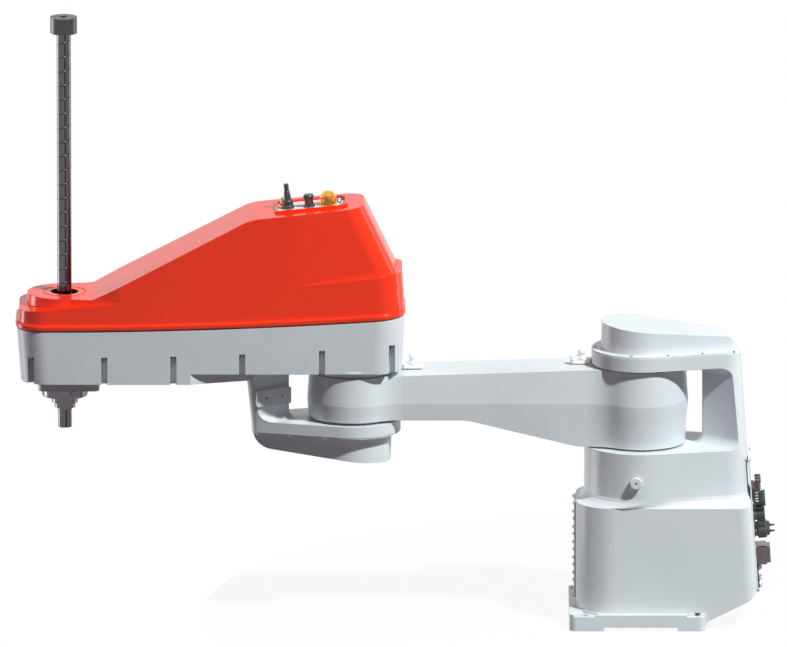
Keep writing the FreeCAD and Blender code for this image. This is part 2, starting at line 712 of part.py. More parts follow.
def build_rear_panel():
    low, high, half = PANEL_LOW, PANEL_HIGH, PANEL_HALF
    middle = (low + high) / 2
    reach = (high - low) / 2
    pairs = [(reach, -half), (reach, half), (-reach, half), (-reach, -half)]
    corners = [PANEL_CORNER] * 4
    plate = plan_prism(pairs, corners, 0, PANEL_THICK)
    rim = 2 * PANEL_EDGE + 3
    inner = [(math.copysign(abs(x) - rim, x), math.copysign(abs(y) - rim, y)) for x, y in pairs]
    pocket = plan_prism(inner, corners, -PANEL_POCKET_DEPTH, 1)
    screws = []
    holes = []
    first = -reach + PANEL_EDGE
    step = -2 * first / (PANEL_SCREW_ROWS - 1)
    for x in [first + step * row for row in range(PANEL_SCREW_ROWS)]:
        for y in (-half + PANEL_EDGE, half - PANEL_EDGE):
            at = Vector(x, y, PANEL_THICK)
            screws.append(screw(SMALL_SCREW, PANEL_THICK + 6, at, Vector(0, 0, 1)))
            holes.append(screw_hole(SMALL_SCREW, PANEL_THICK + 7, at, Vector(0, 0, 1)))
    placed = [on_rear(h, middle) for h in holes]
    nodes["base_casting"] = nodes["base_casting"].cut([on_rear(pocket, middle)] + placed)
    nodes["rear_panel"] = on_rear(plate.cut(holes), middle)
    nodes["rear_panel_screws"] = on_rear(Part.makeCompound(screws), middle)


def revolve(pairs):
    """Turned piece about Z from (radius, height) points."""
    points = [Vector(r, 0, z) for r, z in pairs]
    wire = Part.makePolygon(points + [points[0]])
    return Part.Face(wire).revolve(Vector(0, 0, 0), Vector(0, 0, 1), 360)


def push_in_fitting():
    return revolve([(3, 0), (9, 0), (9, 5), (7, 7), (5.5, 13), (7, 19), (8.5, 21), (8.5, 27), (3, 27)])


def elbow_fitting():
    stem = revolve([(0, 0), (7, 0), (7, 5), (5, 6), (5, 16), (0, 16)])
    arm = Part.makeCylinder(5, 18, Vector(0, 0, 14), Vector(1, 0, 0))
    arm = arm.fuse(Part.makeCylinder(6.5, 7, Vector(12, 0, 14), Vector(1, 0, 0)))
    knee = Part.makeSphere(5.6, Vector(0, 0, 14))
    return fuse([stem, arm, knee])


def round_socket(r, length):
    return revolve([(0, 0), (r + 3, 0), (r + 3, 3), (r, 3), (r, length), (r - 2, length), (r - 2, 5), (0, 5)])


def pointed_plug():
    return revolve([(0, 0), (9, 0), (9, 6), (13.5, 8), (13.5, 24), (9, 27), (9, 31), (3, 33), (1.2, 43), (0, 43)])


def power_connector():
    body = rounded_plate(-20, 20, 27, 4, 0, 22)
    step = rounded_plate(-17, 17, 24, 3, 22, 30)
    lever = box(-3, 3, -30, 30, 8, 13)
    return fuse([body, step, lever])


def dome_plug():
    dome = Part.makeSphere(7.0, Vector(0, 0, 4)).cut(box(-10, 10, -10, 10, -10, 4))
    return fuse([cylinder(8.5, 0, 4.01), dome])


def row_on_panel(piece, row):
    """One copy of a piece at each place of a row, standing on the panel."""
    z, places = row
    return [on_rear(piece, z, y, PANEL_THICK) for y in places]


def build_rear_connectors():
    fittings = row_on_panel(elbow_fitting(), ELBOW_ROW) + row_on_panel(push_in_fitting(), PUSH_IN_ROW)
    nodes["base_air_fittings"] = Part.makeCompound(fittings)
    sockets = row_on_panel(round_socket(SOCKET_R, SOCKET_LENGTH), SOCKET_ROW)
    nodes["base_signal_connectors"] = Part.makeCompound(sockets + row_on_panel(pointed_plug(), POINTED_ROW))
    nodes["base_power_connector"] = on_rear(power_connector(), POWER_Z, 0, PANEL_THICK)
    plugs = [plug for row in BLANK_ROWS for plug in row_on_panel(dome_plug(), row)]
    nodes["base_blanking_plugs"] = Part.makeCompound(plugs)


def motor(side, length, shaft_r, shaft_length, corner):
    """Square servo motor standing on z = 0 with its shaft pointing down."""
    body = rounded_plate(-side / 2, side / 2, side / 2, corner, 0, length * 0.72)
    cap = rounded_plate(-side * 0.44, side * 0.44, side * 0.44, corner, length * 0.72, length)
    lead = box(side / 2 - 1, side / 2 + 12, -14, 14, length * 0.5, length * 0.5 + 22)
    shaft = cylinder(shaft_r, -shaft_length, 1)
    return fuse([body, cap, lead, shaft])


def bearing(r_out, r_in, z0, z1, x):
    """Roller bearing: two rings with a shoulder each, separate rollers between them."""
    centre = (r_out + r_in) / 2
    roller_r = (r_out - r_in) * 0.24
    lip = (z1 - z0) * 0.15
    outer = tube(r_out, centre + roller_r + RUN_GAP / 2, z0, z1, x)
    outer = outer.fuse(tube(r_out - 1, centre + roller_r / 2, z0, z0 + lip, x))
    inner = tube(centre - roller_r - RUN_GAP / 2, r_in, z0, z1, x)
    inner = inner.fuse(tube(centre - roller_r / 2, r_in + 1, z1 - lip, z1, x))
    solids = [outer.removeSplitter(), inner.removeSplitter()]
    for i in range(ROLLERS):
        angle = 2 * math.pi * i / ROLLERS
        at_x = x + centre * math.cos(angle)
        at_y = centre * math.sin(angle)
        solids.append(cylinder(roller_r, z0 + lip + RUN_GAP, z1 - lip - RUN_GAP, at_x, at_y))
    return Part.makeCompound(solids)


def gear_unit(z_top, x, direction):
    """Gear housing with its bolt flange; the mouth faces the driven link."""
    cup = GEAR_GRIP + 4
    web = cup + 6
    body = tube(GEAR_R, OUTPUT_R + RUN_GAP, 0, cup)
    base = tube(GEAR_R, GEAR_HUB_BORE, cup, web)
    neck = tube(GEAR_R * 0.8, GEAR_HUB_BORE, web, GEAR_HEIGHT)
    unit = fuse([body, base, neck])
    if direction > 0:
        unit.rotate(Vector(0, 0, 0), Vector(1, 0, 0), 180)
    unit.translate(Vector(x, 0, z_top))
    return unit


def output_flange(z_link, x, direction, length):
    """Ring bolted to the link that reaches into the gear unit."""
    piece = tube(OUTPUT_R, JOURNAL_BORE, 0, length)
    if direction > 0:
        piece.rotate(Vector(0, 0, 0), Vector(1, 0, 0), 180)
    piece.translate(Vector(x, 0, z_link))
    return piece


def build_axis_1():
    gear_top = COLUMN_TOP - GEAR_SINK
    nodes["a1_gear_unit"] = gear_unit(gear_top, 0, 1)
    nodes["a1_output_flange"] = output_flange(Z_BARREL_1, 0, 1, Z_BARREL_1 - gear_top + GEAR_GRIP)
    drive = motor(MOTOR_1_SIDE, MOTOR_1_LENGTH, MOTOR_SHAFT_1_R, GEAR_HEIGHT - GEAR_GRIP + 6, 10)
    drive.rotate(Vector(0, 0, 0), Vector(1, 0, 0), 180)
    drive.translate(Vector(0, 0, gear_top - GEAR_HEIGHT))
    nodes["a1_motor"] = drive
    low = Z_ARM + BEARING_COVER
    nodes["a1_upper_bearing"] = bearing(BEARING_OUT, JOURNAL_R + RUN_GAP, low, low + BEARING_WIDTH, 0)
    top = low + BEARING_WIDTH + 3
    foot = Z_BARREL_1_TOP - JOURNAL_DEPTH
    nodes["a1_upper_journal"] = fuse([
        tube(JOURNAL_R, JOURNAL_BORE, foot, top),
        tube(JOURNAL_R + JOURNAL_FLANGE, JOURNAL_BORE, foot, foot + JOURNAL_FLANGE_THICK),
    ])


def arm_plan(z, inset):
    """Plan of link 1: two round barrels joined by a beam through hollow blends."""
    r1 = BARREL_1_R - inset
    r2 = BARREL_2_R - inset
    half = BEAM_HALF - inset
    blend = BEAM_BLEND + inset

    def join(r):
        x = math.sqrt((r + blend) ** 2 - (half + blend) ** 2)
        on_circle = Vector(x * r / (r + blend), (half + blend) * r / (r + blend), z)
        start = math.atan2(half + blend, x)
        turn = (start + math.pi / 2) / 2 + math.pi
        middle = Vector(x + blend * math.cos(turn), half + blend + blend * math.sin(turn), z)
        return on_circle, middle, Vector(x, half, z)

    c1, m1, l1 = join(r1)
    c2, m2, l2 = join(r2)

    def left(p):
        return Vector(LINK_1 - p.x, p.y, z)

    def low(p):
        return Vector(p.x, -p.y, z)

    edges = [
        Part.Arc(low(c1), Vector(-r1, 0, z), c1).toShape(),
        Part.Arc(c1, m1, l1).toShape(),
        Part.makeLine(l1, left(l2)),
        Part.Arc(left(l2), left(m2), left(c2)).toShape(),
        Part.Arc(left(c2), Vector(LINK_1 + r2, 0, z), low(left(c2))).toShape(),
        Part.Arc(low(left(c2)), low(left(m2)), low(left(l2))).toShape(),
        Part.makeLine(low(left(l2)), low(l1)),
        Part.Arc(low(l1), low(m1), low(c1)).toShape(),
    ]
    return Part.Wire(edges)


def arm_solid(inset):
    low = Z_BARREL_1 - 10
    high = Z_BARREL_1_TOP + 10
    upper = loft([arm_plan(Z_CREASE, inset), arm_plan(high, inset + LINK_1_DRAFT * (high - Z_CREASE))])
    lower = loft([arm_plan(low, inset + LINK_1_DRAFT * (Z_CREASE - low)), arm_plan(Z_CREASE, inset)])
    pairs = [
        (-150, Z_BARREL_1 + inset), (BELLY_START, Z_BARREL_1 + inset), (BELLY_END, Z_BARREL_2 + inset),
        (LINK_1 + 150, Z_BARREL_2 + inset), (LINK_1 + 150, Z_BARREL_2_TOP - inset),
        (LINK_1 - BARREL_2_R, Z_BARREL_2_TOP - inset), (TOP_SLOPE_START, Z_BARREL_1_TOP - inset),
        (-150, Z_BARREL_1_TOP - inset),
    ]
    radii = [0, BELLY_ROUND, BELLY_ROUND, 0, 0, 300, 300, 0]
    return upper.fuse(lower).common(side_prism(pairs, radii, 200))


def build_link_1():
    body = arm_solid(0).cut(arm_solid(LINK_1_WALL))
    depth = JOURNAL_DEPTH
    bosses = [
        cylinder(OUTPUT_R + 8, Z_BARREL_1 + 2, Z_BARREL_1 + LINK_1_WALL + 12),
        cylinder(JOURNAL_R + 22, Z_BARREL_1_TOP - depth - 8, Z_BARREL_1_TOP - 2),
        cylinder(JOURNAL_R + 22, Z_BARREL_2 + 2, Z_BARREL_2 + depth + 8, LINK_1),
        cylinder(OUTPUT_R + 8, Z_BARREL_2_TOP - LINK_1_WALL - 12, Z_BARREL_2_TOP - 2, LINK_1),
    ]
    body = fuse([body] + bosses)
    bores = [
        cylinder(JOURNAL_BORE, Z_BARREL_1 - 1, Z_BARREL_1_TOP + 1),
        cylinder(JOURNAL_BORE, Z_BARREL_2 - 1, Z_BARREL_2_TOP + 1, LINK_1),
        cylinder(JOURNAL_R, Z_BARREL_1_TOP - depth, Z_BARREL_1_TOP + 1),
        cylinder(JOURNAL_R + JOURNAL_FLANGE, Z_BARREL_1_TOP - depth,
                 Z_BARREL_1_TOP - depth + JOURNAL_FLANGE_THICK),
        cylinder(JOURNAL_R, Z_BARREL_2 - 1, Z_BARREL_2 + depth, LINK_1),
        cylinder(JOURNAL_R + JOURNAL_FLANGE, Z_BARREL_2 + depth - JOURNAL_FLANGE_THICK,
                 Z_BARREL_2 + depth, LINK_1),
    ]
    nodes["link_1_casting"] = body.cut(bores).removeSplitter()


def build_axis_2():
    boss_low = HOUSING_FLOOR - BOSS_HEIGHT
    gear_low = boss_low + GEAR_SINK
    nodes["a2_gear_unit"] = gear_unit(gear_low, LINK_1, -1)
    reach = gear_low - Z_BARREL_2_TOP + GEAR_GRIP
    nodes["a2_output_flange"] = output_flange(Z_BARREL_2_TOP, LINK_1, -1, reach)
    drive = motor(MOTOR_2_SIDE, MOTOR_2_LENGTH, MOTOR_SHAFT_1_R, GEAR_HEIGHT - GEAR_GRIP + 6, 9)
    drive.translate(Vector(LINK_1, 0, gear_low + GEAR_HEIGHT))
    nodes["a2_motor"] = drive
    high = Z_FORK_TOP - FORK_LID
    nodes["a2_lower_bearing"] = bearing(BEARING_OUT, JOURNAL_R + RUN_GAP, high - BEARING_WIDTH, high, LINK_1)
    low = high - BEARING_WIDTH - 3
    head = Z_BARREL_2 + JOURNAL_DEPTH
    nodes["a2_lower_journal"] = fuse([
        tube(JOURNAL_R, JOURNAL_BORE, low, head, LINK_1),
        tube(JOURNAL_R + JOURNAL_FLANGE, JOURNAL_BORE, head - JOURNAL_FLANGE_THICK, head, LINK_1),
    ])


def housing_half(x, z):
    """Half-width of the arm housing's plan at x from axis 2 and height z."""
    draw = HOUSING_DRAFT * (SPLIT_FRONT - z)
    half = HOUSING_HALF - draw
    front_centre = LINK_2 + HOUSING_FRONT - HOUSING_NOSE_DRAFT * draw - HOUSING_FRONT_CORNER
    rear_centre = HOUSING_REAR + draw + HOUSING_REAR_CORNER
    if x > front_centre:
        return half - HOUSING_FRONT_CORNER + math.sqrt(HOUSING_FRONT_CORNER ** 2 - (x - front_centre) ** 2)
    if x < rear_centre:
        return half - HOUSING_REAR_CORNER + math.sqrt(HOUSING_REAR_CORNER ** 2 - (rear_centre - x) ** 2)
    return half


def housing_outline(z, inset):
    draw = inset + HOUSING_DRAFT * (SPLIT_FRONT - z)
    return outline(
        z, SPINDLE_X + HOUSING_FRONT - (draw - inset) * HOUSING_NOSE_DRAFT - inset, HOUSING_HALF - draw,
        LINK_1 + HOUSING_REAR + draw, HOUSING_HALF - draw,
        HOUSING_FRONT_CORNER - inset, HOUSING_REAR_CORNER - inset)


def housing_solid(inset, z_low, z_high):
    return loft([housing_outline(z_low, inset), housing_outline(z_high, inset)])


def belly_plan(inset, z0, z1):
    half = HOUSING_HALF + 30
    neck = FORK_NECK_HALF - inset
    pairs = [
        (SPINDLE_X + 200, -half), (SPINDLE_X + 200, half), (LINK_1 + BELLY_FRONT_X + inset + 40, half),
        (LINK_1 + BELLY_FRONT_X + inset, HOUSING_HALF - 8), (LINK_1 + FORK_FRONT - 6 + inset, neck),
        (LINK_1 + FORK_FRONT - 6 + inset, -neck), (LINK_1 + BELLY_FRONT_X + inset, -HOUSING_HALF + 8),
        (LINK_1 + BELLY_FRONT_X + inset + 40, -half),
    ]
    return plan_prism(pairs, [0, 0, 0, 60, 0, 0, 60, 0], z0, z1)


def fork_outline(z, share, far):
    low = nose_shape(FORK_R, FORK_TAPER, far, FORK_CORNER)
    high = nose_shape(FORK_R, FORK_NECK_TAPER, far, FORK_CORNER)
    return shifted_outline(z, mix(low, high, share), LINK_1)


def slot_places():
    """For each cover screw: x from axis 2, side, top of its slot and distance from the middle."""
    places = []
    for x in SLOT_X:
        slot_top = split_z(x) - SLOT_BELOW_SPLIT
        for side in (-1, 1):
            places.append((x, side, slot_top, housing_half(x, slot_top) - SCREW_INSET))
    return places


def build_link_2():
    above = SPLIT_FRONT + 3 * SPLIT_RISE
    outer = housing_solid(0, HOUSING_FLOOR, above).cut(split_cut(0, True))
    belly = housing_solid(0, Z_BELLY, HOUSING_FLOOR + 1).common(belly_plan(0, Z_BELLY - 1, HOUSING_FLOOR + 1))
    inside = housing_solid(HOUSING_WALL, HOUSING_FLOOR + FLOOR_THICK, above + 1)
    deep = housing_solid(HOUSING_WALL, Z_BELLY + FLOOR_THICK, HOUSING_FLOOR + FLOOR_THICK + 1).common(
        belly_plan(HOUSING_WALL + 2, Z_BELLY, HOUSING_FLOOR + FLOOR_THICK + 1))
    far_low = FORK_FRONT - FORK_FRONT_LEAN
    fork = loft([
        fork_outline(Z_FORK, 0, far_low), fork_outline(Z_FORK_TOP, 0.1, far_low + 1),
        fork_outline(HOUSING_FLOOR + 4, 1, FORK_FRONT),
    ])
    gap = notch(FORK_TIP, FORK_ANGLE, -1, Z_FORK_TOP, HOUSING_FLOOR, FORK_ROUND)
    gap.translate(Vector(LINK_1, 0, 0))
    fork = fork.cut(gap)
    boss = cylinder(BOSS_R, HOUSING_FLOOR - BOSS_HEIGHT, HOUSING_FLOOR + FLOOR_THICK, LINK_1)
    shell = outer.fuse(belly).cut([inside, deep])
    pillars = []
    slots = []
    for x, side, slot_top, screw_y in slot_places():
        x0 = LINK_1 + x
        deep_y = housing_half(x, Z_BELLY)
        y0, y1 = sorted((side * (deep_y - PILLAR_DEPTH), side * (deep_y + HOUSING_WALL / 2)))
        pillars.append(box(x0 - PILLAR_HALF, x0 + PILLAR_HALF, y0, y1, Z_BELLY, slot_top + SLOT_BELOW_SPLIT + 10))
        y0, y1 = sorted((side * (deep_y - SLOT_DEPTH), side * (HOUSING_HALF + SLOT_DEPTH)))
        slots.append(box(x0 - SLOT_WIDTH / 2, x0 + SLOT_WIDTH / 2, y0, y1, Z_BELLY - 1, slot_top))
        at = Vector(x0, side * screw_y, slot_top)
        slots.append(screw_hole(COVER_SCREW, SLOT_BELOW_SPLIT + 20, at, Vector(0, 0, -1)))
    block = outer.fuse(belly)
    pillars = [p.common(block) for p in pillars]
    body = fuse([shell, fork, boss] + pillars)
    gear_low = HOUSING_FLOOR - BOSS_HEIGHT + GEAR_SINK
    tools = slots + [
        cylinder(GEAR_R + SEAT, gear_low, HOUSING_FLOOR + FLOOR_THICK + 1, LINK_1),
        cylinder(OUTPUT_R + 2, HOUSING_FLOOR - BOSS_HEIGHT - 1, gear_low + 1, LINK_1),
        cylinder(BEARING_OUT + SEAT, Z_FORK - 1, Z_FORK_TOP - FORK_LID, LINK_1),
        cylinder(JOURNAL_R + 3, Z_FORK_TOP - FORK_LID - 1, Z_FORK_TOP + 1, LINK_1),
        cylinder(SPINDLE_BEARING_R + SEAT, Z_BELLY - 1, Z_BELLY + FLOOR_THICK + 1, SPINDLE_X),
    ]
    nodes["link_2_casting"] = body.cut(tools).removeSplitter()


def cover_outline(z, inset):
    """Outline of the skirt of the arm cover."""
    draw = inset + COVER_DRAFT * (z - SPLIT_FRONT)
    return outline(
        z, SPINDLE_X + SKIRT_FRONT - draw, COVER_HALF - draw, LINK_1 + SKIRT_REAR + draw, COVER_HALF - draw,
        HOUSING_FRONT_CORNER - 2 - inset, HOUSING_REAR_CORNER - 4 - inset)


def upper_outline(z, inset):
    """Outline of the upper body: round turret, flare, straight sides, tapered slanting rear."""
    draw = inset + COVER_DRAFT * (z - SPLIT_FRONT)
    r = TURRET_R - draw
    half = COVER_HALF - draw
    rear_half = REAR_HALF - draw
    plateau = SPLIT_FRONT + TURRET_HEIGHT + (RAMP_START - RAMP_TOP) * math.tan(math.radians(RAMP_ANGLE))
    rear_top = plateau + PLATEAU_SLOPE * (RAMP_TOP - PLATEAU_END)
    slant = math.tan(math.radians(REAR_SLANT))
    rear = LINK_1 + PLATEAU_END - (rear_top - z) * slant + inset / math.cos(math.radians(REAR_SLANT))
    flare_run = SPINDLE_X - LINK_1 - FLARE_X
    angle = math.atan2(half - r, flare_run)
    tangent = Vector(SPINDLE_X - r * math.sin(angle), r * math.cos(angle), z)
    flare = Vector(LINK_1 + FLARE_X, half, z)
    taper = Vector(LINK_1 + REAR_TAPER_X, half, z)
    corner = REAR_CORNER - inset
    points = [flare, taper, Vector(rear, rear_half, z), Vector(rear, -rear_half, z)]
    points += [Vector(taper.x, -half, z), Vector(flare.x, -half, z)]
    low_tangent = Vector(tangent.x, -tangent.y, z)
    body = rounded_part(points, [60, 120, corner, corner, 120, 60], tangent, low_tangent)
    nose = Part.Arc(low_tangent, Vector(SPINDLE_X + r, 0, z), tangent).toShape()
    return Part.Wire(body + [nose])


def rounded_part(points, radii, start, end):
    """Open rounded path from start through the points to end."""
    chain = [start] + points + [end]
    edges = []
    last = start
    for i in range(1, len(chain) - 1):
        corner = chain[i]
        before = (chain[i - 1] - corner).normalize()
        after = (chain[i + 1] - corner).normalize()
        half = before.getAngle(after) / 2
        reach = radii[i - 1] / math.tan(half)
        inward = (before + after).normalize()
        first = corner + before * reach
        second = corner + after * reach
        middle = corner + inward * (radii[i - 1] / math.sin(half) - radii[i - 1])
        edges.append(Part.makeLine(last, first))
        edges.append(Part.Arc(first, middle, second).toShape())
        last = second
    edges.append(Part.makeLine(last, end))
    return edges


def cover_profile(inset):
    """Side view of the upper body: turret top, ramp and rising plateau."""
    turret_top = SPLIT_FRONT + TURRET_HEIGHT - inset
    rise = (RAMP_START - RAMP_TOP) * math.tan(math.radians(RAMP_ANGLE))
    plateau = turret_top + rise
    end = plateau + PLATEAU_SLOPE * (RAMP_TOP + 200)
    pairs = [
        (SPINDLE_X + 120, SPLIT_FRONT - 60), (SPINDLE_X + 120, turret_top), (LINK_1 + RAMP_START, turret_top),
        (LINK_1 + RAMP_TOP, plateau), (LINK_1 - 200, end), (LINK_1 - 200, SPLIT_FRONT - 60),
    ]
    return side_prism(pairs, [0, 0, 25 + inset, 110 - inset, 0, 0], 150)


def cover_solid(inset):
    low = SPLIT_FRONT - 10
    skirt = loft([cover_outline(low, inset), cover_outline(SPLIT_FRONT + 200, inset)])
    ledge = SPLIT_FRONT + SKIRT_HEIGHT - inset
    front = SPINDLE_X + 150
    rear = LINK_1 - 200
    ledge_rear = ledge + SKIRT_SLOPE * (SPINDLE_X + SKIRT_FRONT - rear)
    skirt_side = side_prism([(front, low - 20), (front, ledge - 5), (rear, ledge_rear), (rear, low - 20)],
                            [0] * 4, 150)
    skirt = skirt.common(skirt_side)
    upper = loft([upper_outline(low, inset), upper_outline(SPLIT_FRONT + 280, inset)])
    upper = upper.common(cover_profile(inset))
    room = loft([cover_outline(low, inset - 0.5), cover_outline(SPLIT_FRONT + 300, inset - 0.5)])
    return skirt, upper.common(room)


def build_arm_cover():
    skirt, upper = cover_solid(0)
    outer = fuse([skirt, upper])
    skirt_in, upper_in = cover_solid(COVER_WALL)
    inner = skirt_in.fuse(upper_in)
    rim_block = outline(SPLIT_FRONT - 10, SPINDLE_X + HOUSING_FRONT + RIM_OUT, HOUSING_HALF + RIM_OUT,
                        LINK_1 + HOUSING_REAR - RIM_OUT, HOUSING_HALF + RIM_OUT,
                        HOUSING_FRONT_CORNER + RIM_OUT, HOUSING_REAR_CORNER + RIM_OUT)
    rim = prism(rim_block, Vector(0, 0, 70))
    rim = rim.cut(split_cut(COVER_GAP + RIM_HEIGHT, True)).cut(split_cut(COVER_GAP, False))
    soft = [e for e in rim.Edges if e.BoundBox.ZLength < 20 and e.Length > 1
            and not (abs(e.BoundBox.XLength) < 0.01 and abs(e.BoundBox.YLength) < 0.01)]
    rim = rim.makeFillet(RIM_ROUND, soft)
    body = outer.cut(split_cut(COVER_GAP + RIM_HEIGHT / 3, False))
    bosses = []
    holes = []
    for x, side, slot_top, screw_y in slot_places():
        y = side * screw_y
        z_split = split_z(x) + COVER_GAP
        bosses.append(cylinder(6.0, z_split, z_split + 24, LINK_1 + x, y))
        holes.append(cylinder(COVER_SCREW[0] + SEAT, z_split - 3 * COVER_GAP, z_split + 20, LINK_1 + x, y))
    bosses = [b.common(body) for b in bosses]
    hollow = inner.cut(split_cut(COVER_GAP - 30, False))
    rim = rim.cut(hollow)
    cover = fuse([body.cut(hollow), rim] + bosses)
    turret_top = SPLIT_FRONT + TURRET_HEIGHT
    groove = tube(HOLE_GROOVE, HOLE_GROOVE - 3, turret_top - 1.2, turret_top + 5, SPINDLE_X)
    tools = holes + [cylinder(SHAFT_HOLE, turret_top - 20, turret_top + 5, SPINDLE_X), groove]
    cover = cover.cut(tools)
    pocket, opening, lip = plate_tools()
    cover = fuse([cover.cut(pocket).cut(opening), lip])
    nodes["arm_cover"] = cover

    above = SPLIT_FRONT + 3 * SPLIT_RISE
    ring = housing_solid(2.0, HOUSING_FLOOR, above)
    ring = ring.cut(housing_solid(HOUSING_WALL - 1, HOUSING_FLOOR - 1, above + 1))
    seal = ring.cut(split_cut(COVER_GAP, True)).cut(split_cut(0, False))
    nodes["arm_cover_seal"] = seal.cut(holes)
    screws = []
    for x, side, slot_top, screw_y in slot_places():
        at = Vector(LINK_1 + x, side * screw_y, slot_top)
        screws.append(screw(COVER_SCREW, SLOT_BELOW_SPLIT + COVER_GAP + 14, at, Vector(0, 0, -1)))
    nodes["arm_cover_screws"] = Part.makeCompound(screws)


def plate_frame(x=0.0, y=0.0, out=0.0):
    """Place on the plateau at x, y from the connector plate's centre."""
    angle = math.atan(PLATEAU_SLOPE)
    normal = Vector(math.sin(angle), 0, math.cos(angle))
    along = Vector(math.cos(angle), 0, -math.sin(angle))
    plateau = SPLIT_FRONT + TURRET_HEIGHT + (RAMP_START - RAMP_TOP) * math.tan(math.radians(RAMP_ANGLE))
    centre = Vector(LINK_1 + PLATE_X, 0, plateau + PLATEAU_SLOPE * (RAMP_TOP - PLATE_X))
    return centre + along * x + Vector(0, y, 0) + normal * out, normal, along


def on_plate(shape, x=0.0, y=0.0, out=0.0):
    origin, normal, along = plate_frame(x, y, out)
    return on_plane(shape, origin, normal, along)


def plate_outline(grow, z0, z1, rear_r):
    x = PLATE_LENGTH / 2 + grow
    y = PLATE_WIDTH / 2 + grow
    pairs = [(x, -y), (x, y), (-x, y), (-x, -y)]
    return plan_prism(pairs, [5, 5, rear_r, rear_r], z0, z1)


def plate_tools():
    pocket = plate_outline(SEAT, -PLATE_THICK, 10, 20)
    opening = plate_outline(-8, -20, 1, 12)
    lip = plate_outline(LIP_WIDTH, -2, LIP_HEIGHT, 26).cut(plate_outline(SEAT, -3, LIP_HEIGHT + 1, 20))
    return on_plate(pocket), on_plate(opening), on_plate(lip)


def lamp_shape(r, z_low):
    """Dome on a straight side, from z_low up."""
    dome = Part.makeSphere(r, Vector(0, 0, LAMP_SIDE)).cut(box(-2 * r, 2 * r, -2 * r, 2 * r, -2 * r, LAMP_SIDE))
    return fuse([dome, cylinder(r, z_low, LAMP_SIDE)])


def build_plate():
    plate = plate_outline(0, -PLATE_THICK, 0, 20)
    screws = []
    holes = []
    for x in (-PLATE_LENGTH / 2 + 5, 0, PLATE_LENGTH / 2 - 5):
        for y in (-PLATE_WIDTH / 2 + 4, PLATE_WIDTH / 2 - 4):
            if x < 0:
                y *= 0.6
            at = Vector(x, y, 0)
            screws.append(screw(PANEL_SCREW, PLATE_THICK + 0.4, at, Vector(0, 0, 1)))
            holes.append(screw_hole(PANEL_SCREW, PLATE_THICK + 2, at, Vector(0, 0, 1)))
    placed = [on_plate(h) for h in holes]
    nodes["arm_cover"] = nodes["arm_cover"].cut(placed)
    nodes["connector_plate"] = on_plate(plate.cut(holes))
    nodes["connector_plate_screws"] = on_plate(Part.makeCompound(screws))
    gland = revolve([(0, 0), (13, 0), (13, 5), (11, 7), (11, 15), (8, 19), (6.2, 36), (5.2, 38), (5.2, 52), (0, 52)])
    nodes["cable_gland"] = on_plate(gland, 48, 8)
    brass = revolve([(0, 0), (5, 0), (5, 6), (3.5, 7), (3.5, 13), (4.2, 14), (4.2, 17), (2, 17), (2, 12), (0, 12)])
    nodes["brass_fitting"] = on_plate(brass, 60, -22)
    capped = revolve([(0, 0), (12, 0), (12, 4), (9, 6), (9, 18), (11, 19), (11, 23), (9, 26), (0, 27)])
    nodes["capped_connector"] = on_plate(capped, 4, 10)
    dome = lamp_shape(LAMP_R, 0).cut(lamp_shape(LAMP_R - LAMP_WALL, -1))
    nodes["lamp_dome"] = on_plate(dome, LAMP_X, LAMP_Y)
    led = fuse([cylinder(12, 0, 3), rounded_plate(-8, 8, 8, 2, 3, 16)])
    nodes["lamp_block"] = on_plate(led, LAMP_X, LAMP_Y)
    ring = Part.makeTorus(RING_R, RING_WIRE)
    ring.rotate(Vector(0, 0, 0), Vector(1, 0, 0), 90)
    ring.rotate(Vector(0, 0, 0), Vector(0, 0, 1), 45)
    nodes["plate_cord_ring"] = on_plate(ring, LAMP_X - LAMP_R - RING_R, LAMP_Y, RING_R + RING_WIRE + RUN_GAP)


def toothed_wheel(teeth, z0, z1, x, bore):
    """Belt wheel with its flanges; the belt runs just outside the teeth."""
    pitch_r = teeth * TOOTH_PITCH / (2 * math.pi)
    root = pitch_r - TOOTH_DEPTH
    points = []
    for i in range(teeth):
        for share, r in ((-0.28, root), (-0.2, pitch_r), (0.2, pitch_r), (0.28, root)):
            angle = 2 * math.pi * (i + share) / teeth
            points.append(Vector(x + r * math.cos(angle), r * math.sin(angle), z0))
    rim = Part.Face(Part.makePolygon(points + [points[0]])).extrude(Vector(0, 0, z1 - z0))
    flange_r = pitch_r + BELT_THICK + 2
    flanges = [
        cylinder(flange_r, z0 - PULLEY_FLANGE, z0, x), cylinder(flange_r, z1, z1 + PULLEY_FLANGE, x),
    ]
    return fuse([rim] + flanges).cut(cylinder(bore, z0 - 10, z1 + 10, x))


def belt(teeth_a, xa, teeth_b, xb, z0, z1):
    """Closed belt round two wheels, on outer tangents."""
    solids = []
    for grow in (RUN_GAP + BELT_THICK, RUN_GAP):
        ra = teeth_a * TOOTH_PITCH / (2 * math.pi) + grow
        rb = teeth_b * TOOTH_PITCH / (2 * math.pi) + grow
        lean = math.asin((ra - rb) / (xa - xb))
        c, s = math.cos(lean), math.sin(lean)
        a1 = Vector(xa - ra * s, ra * c, z0)
        b1 = Vector(xb - rb * s, rb * c, z0)
        a2 = Vector(a1.x, -a1.y, z0)
        b2 = Vector(b1.x, -b1.y, z0)
        edges = [
            Part.Arc(a2, Vector(xa + ra, 0, z0), a1).toShape(), Part.makeLine(a1, b1),
            Part.Arc(b1, Vector(xb - rb, 0, z0), b2).toShape(), Part.makeLine(b2, a2),
        ]
        solids.append(prism(Part.Wire(edges), Vector(0, 0, z1 - z0)))
    return solids[0].cut(solids[1])


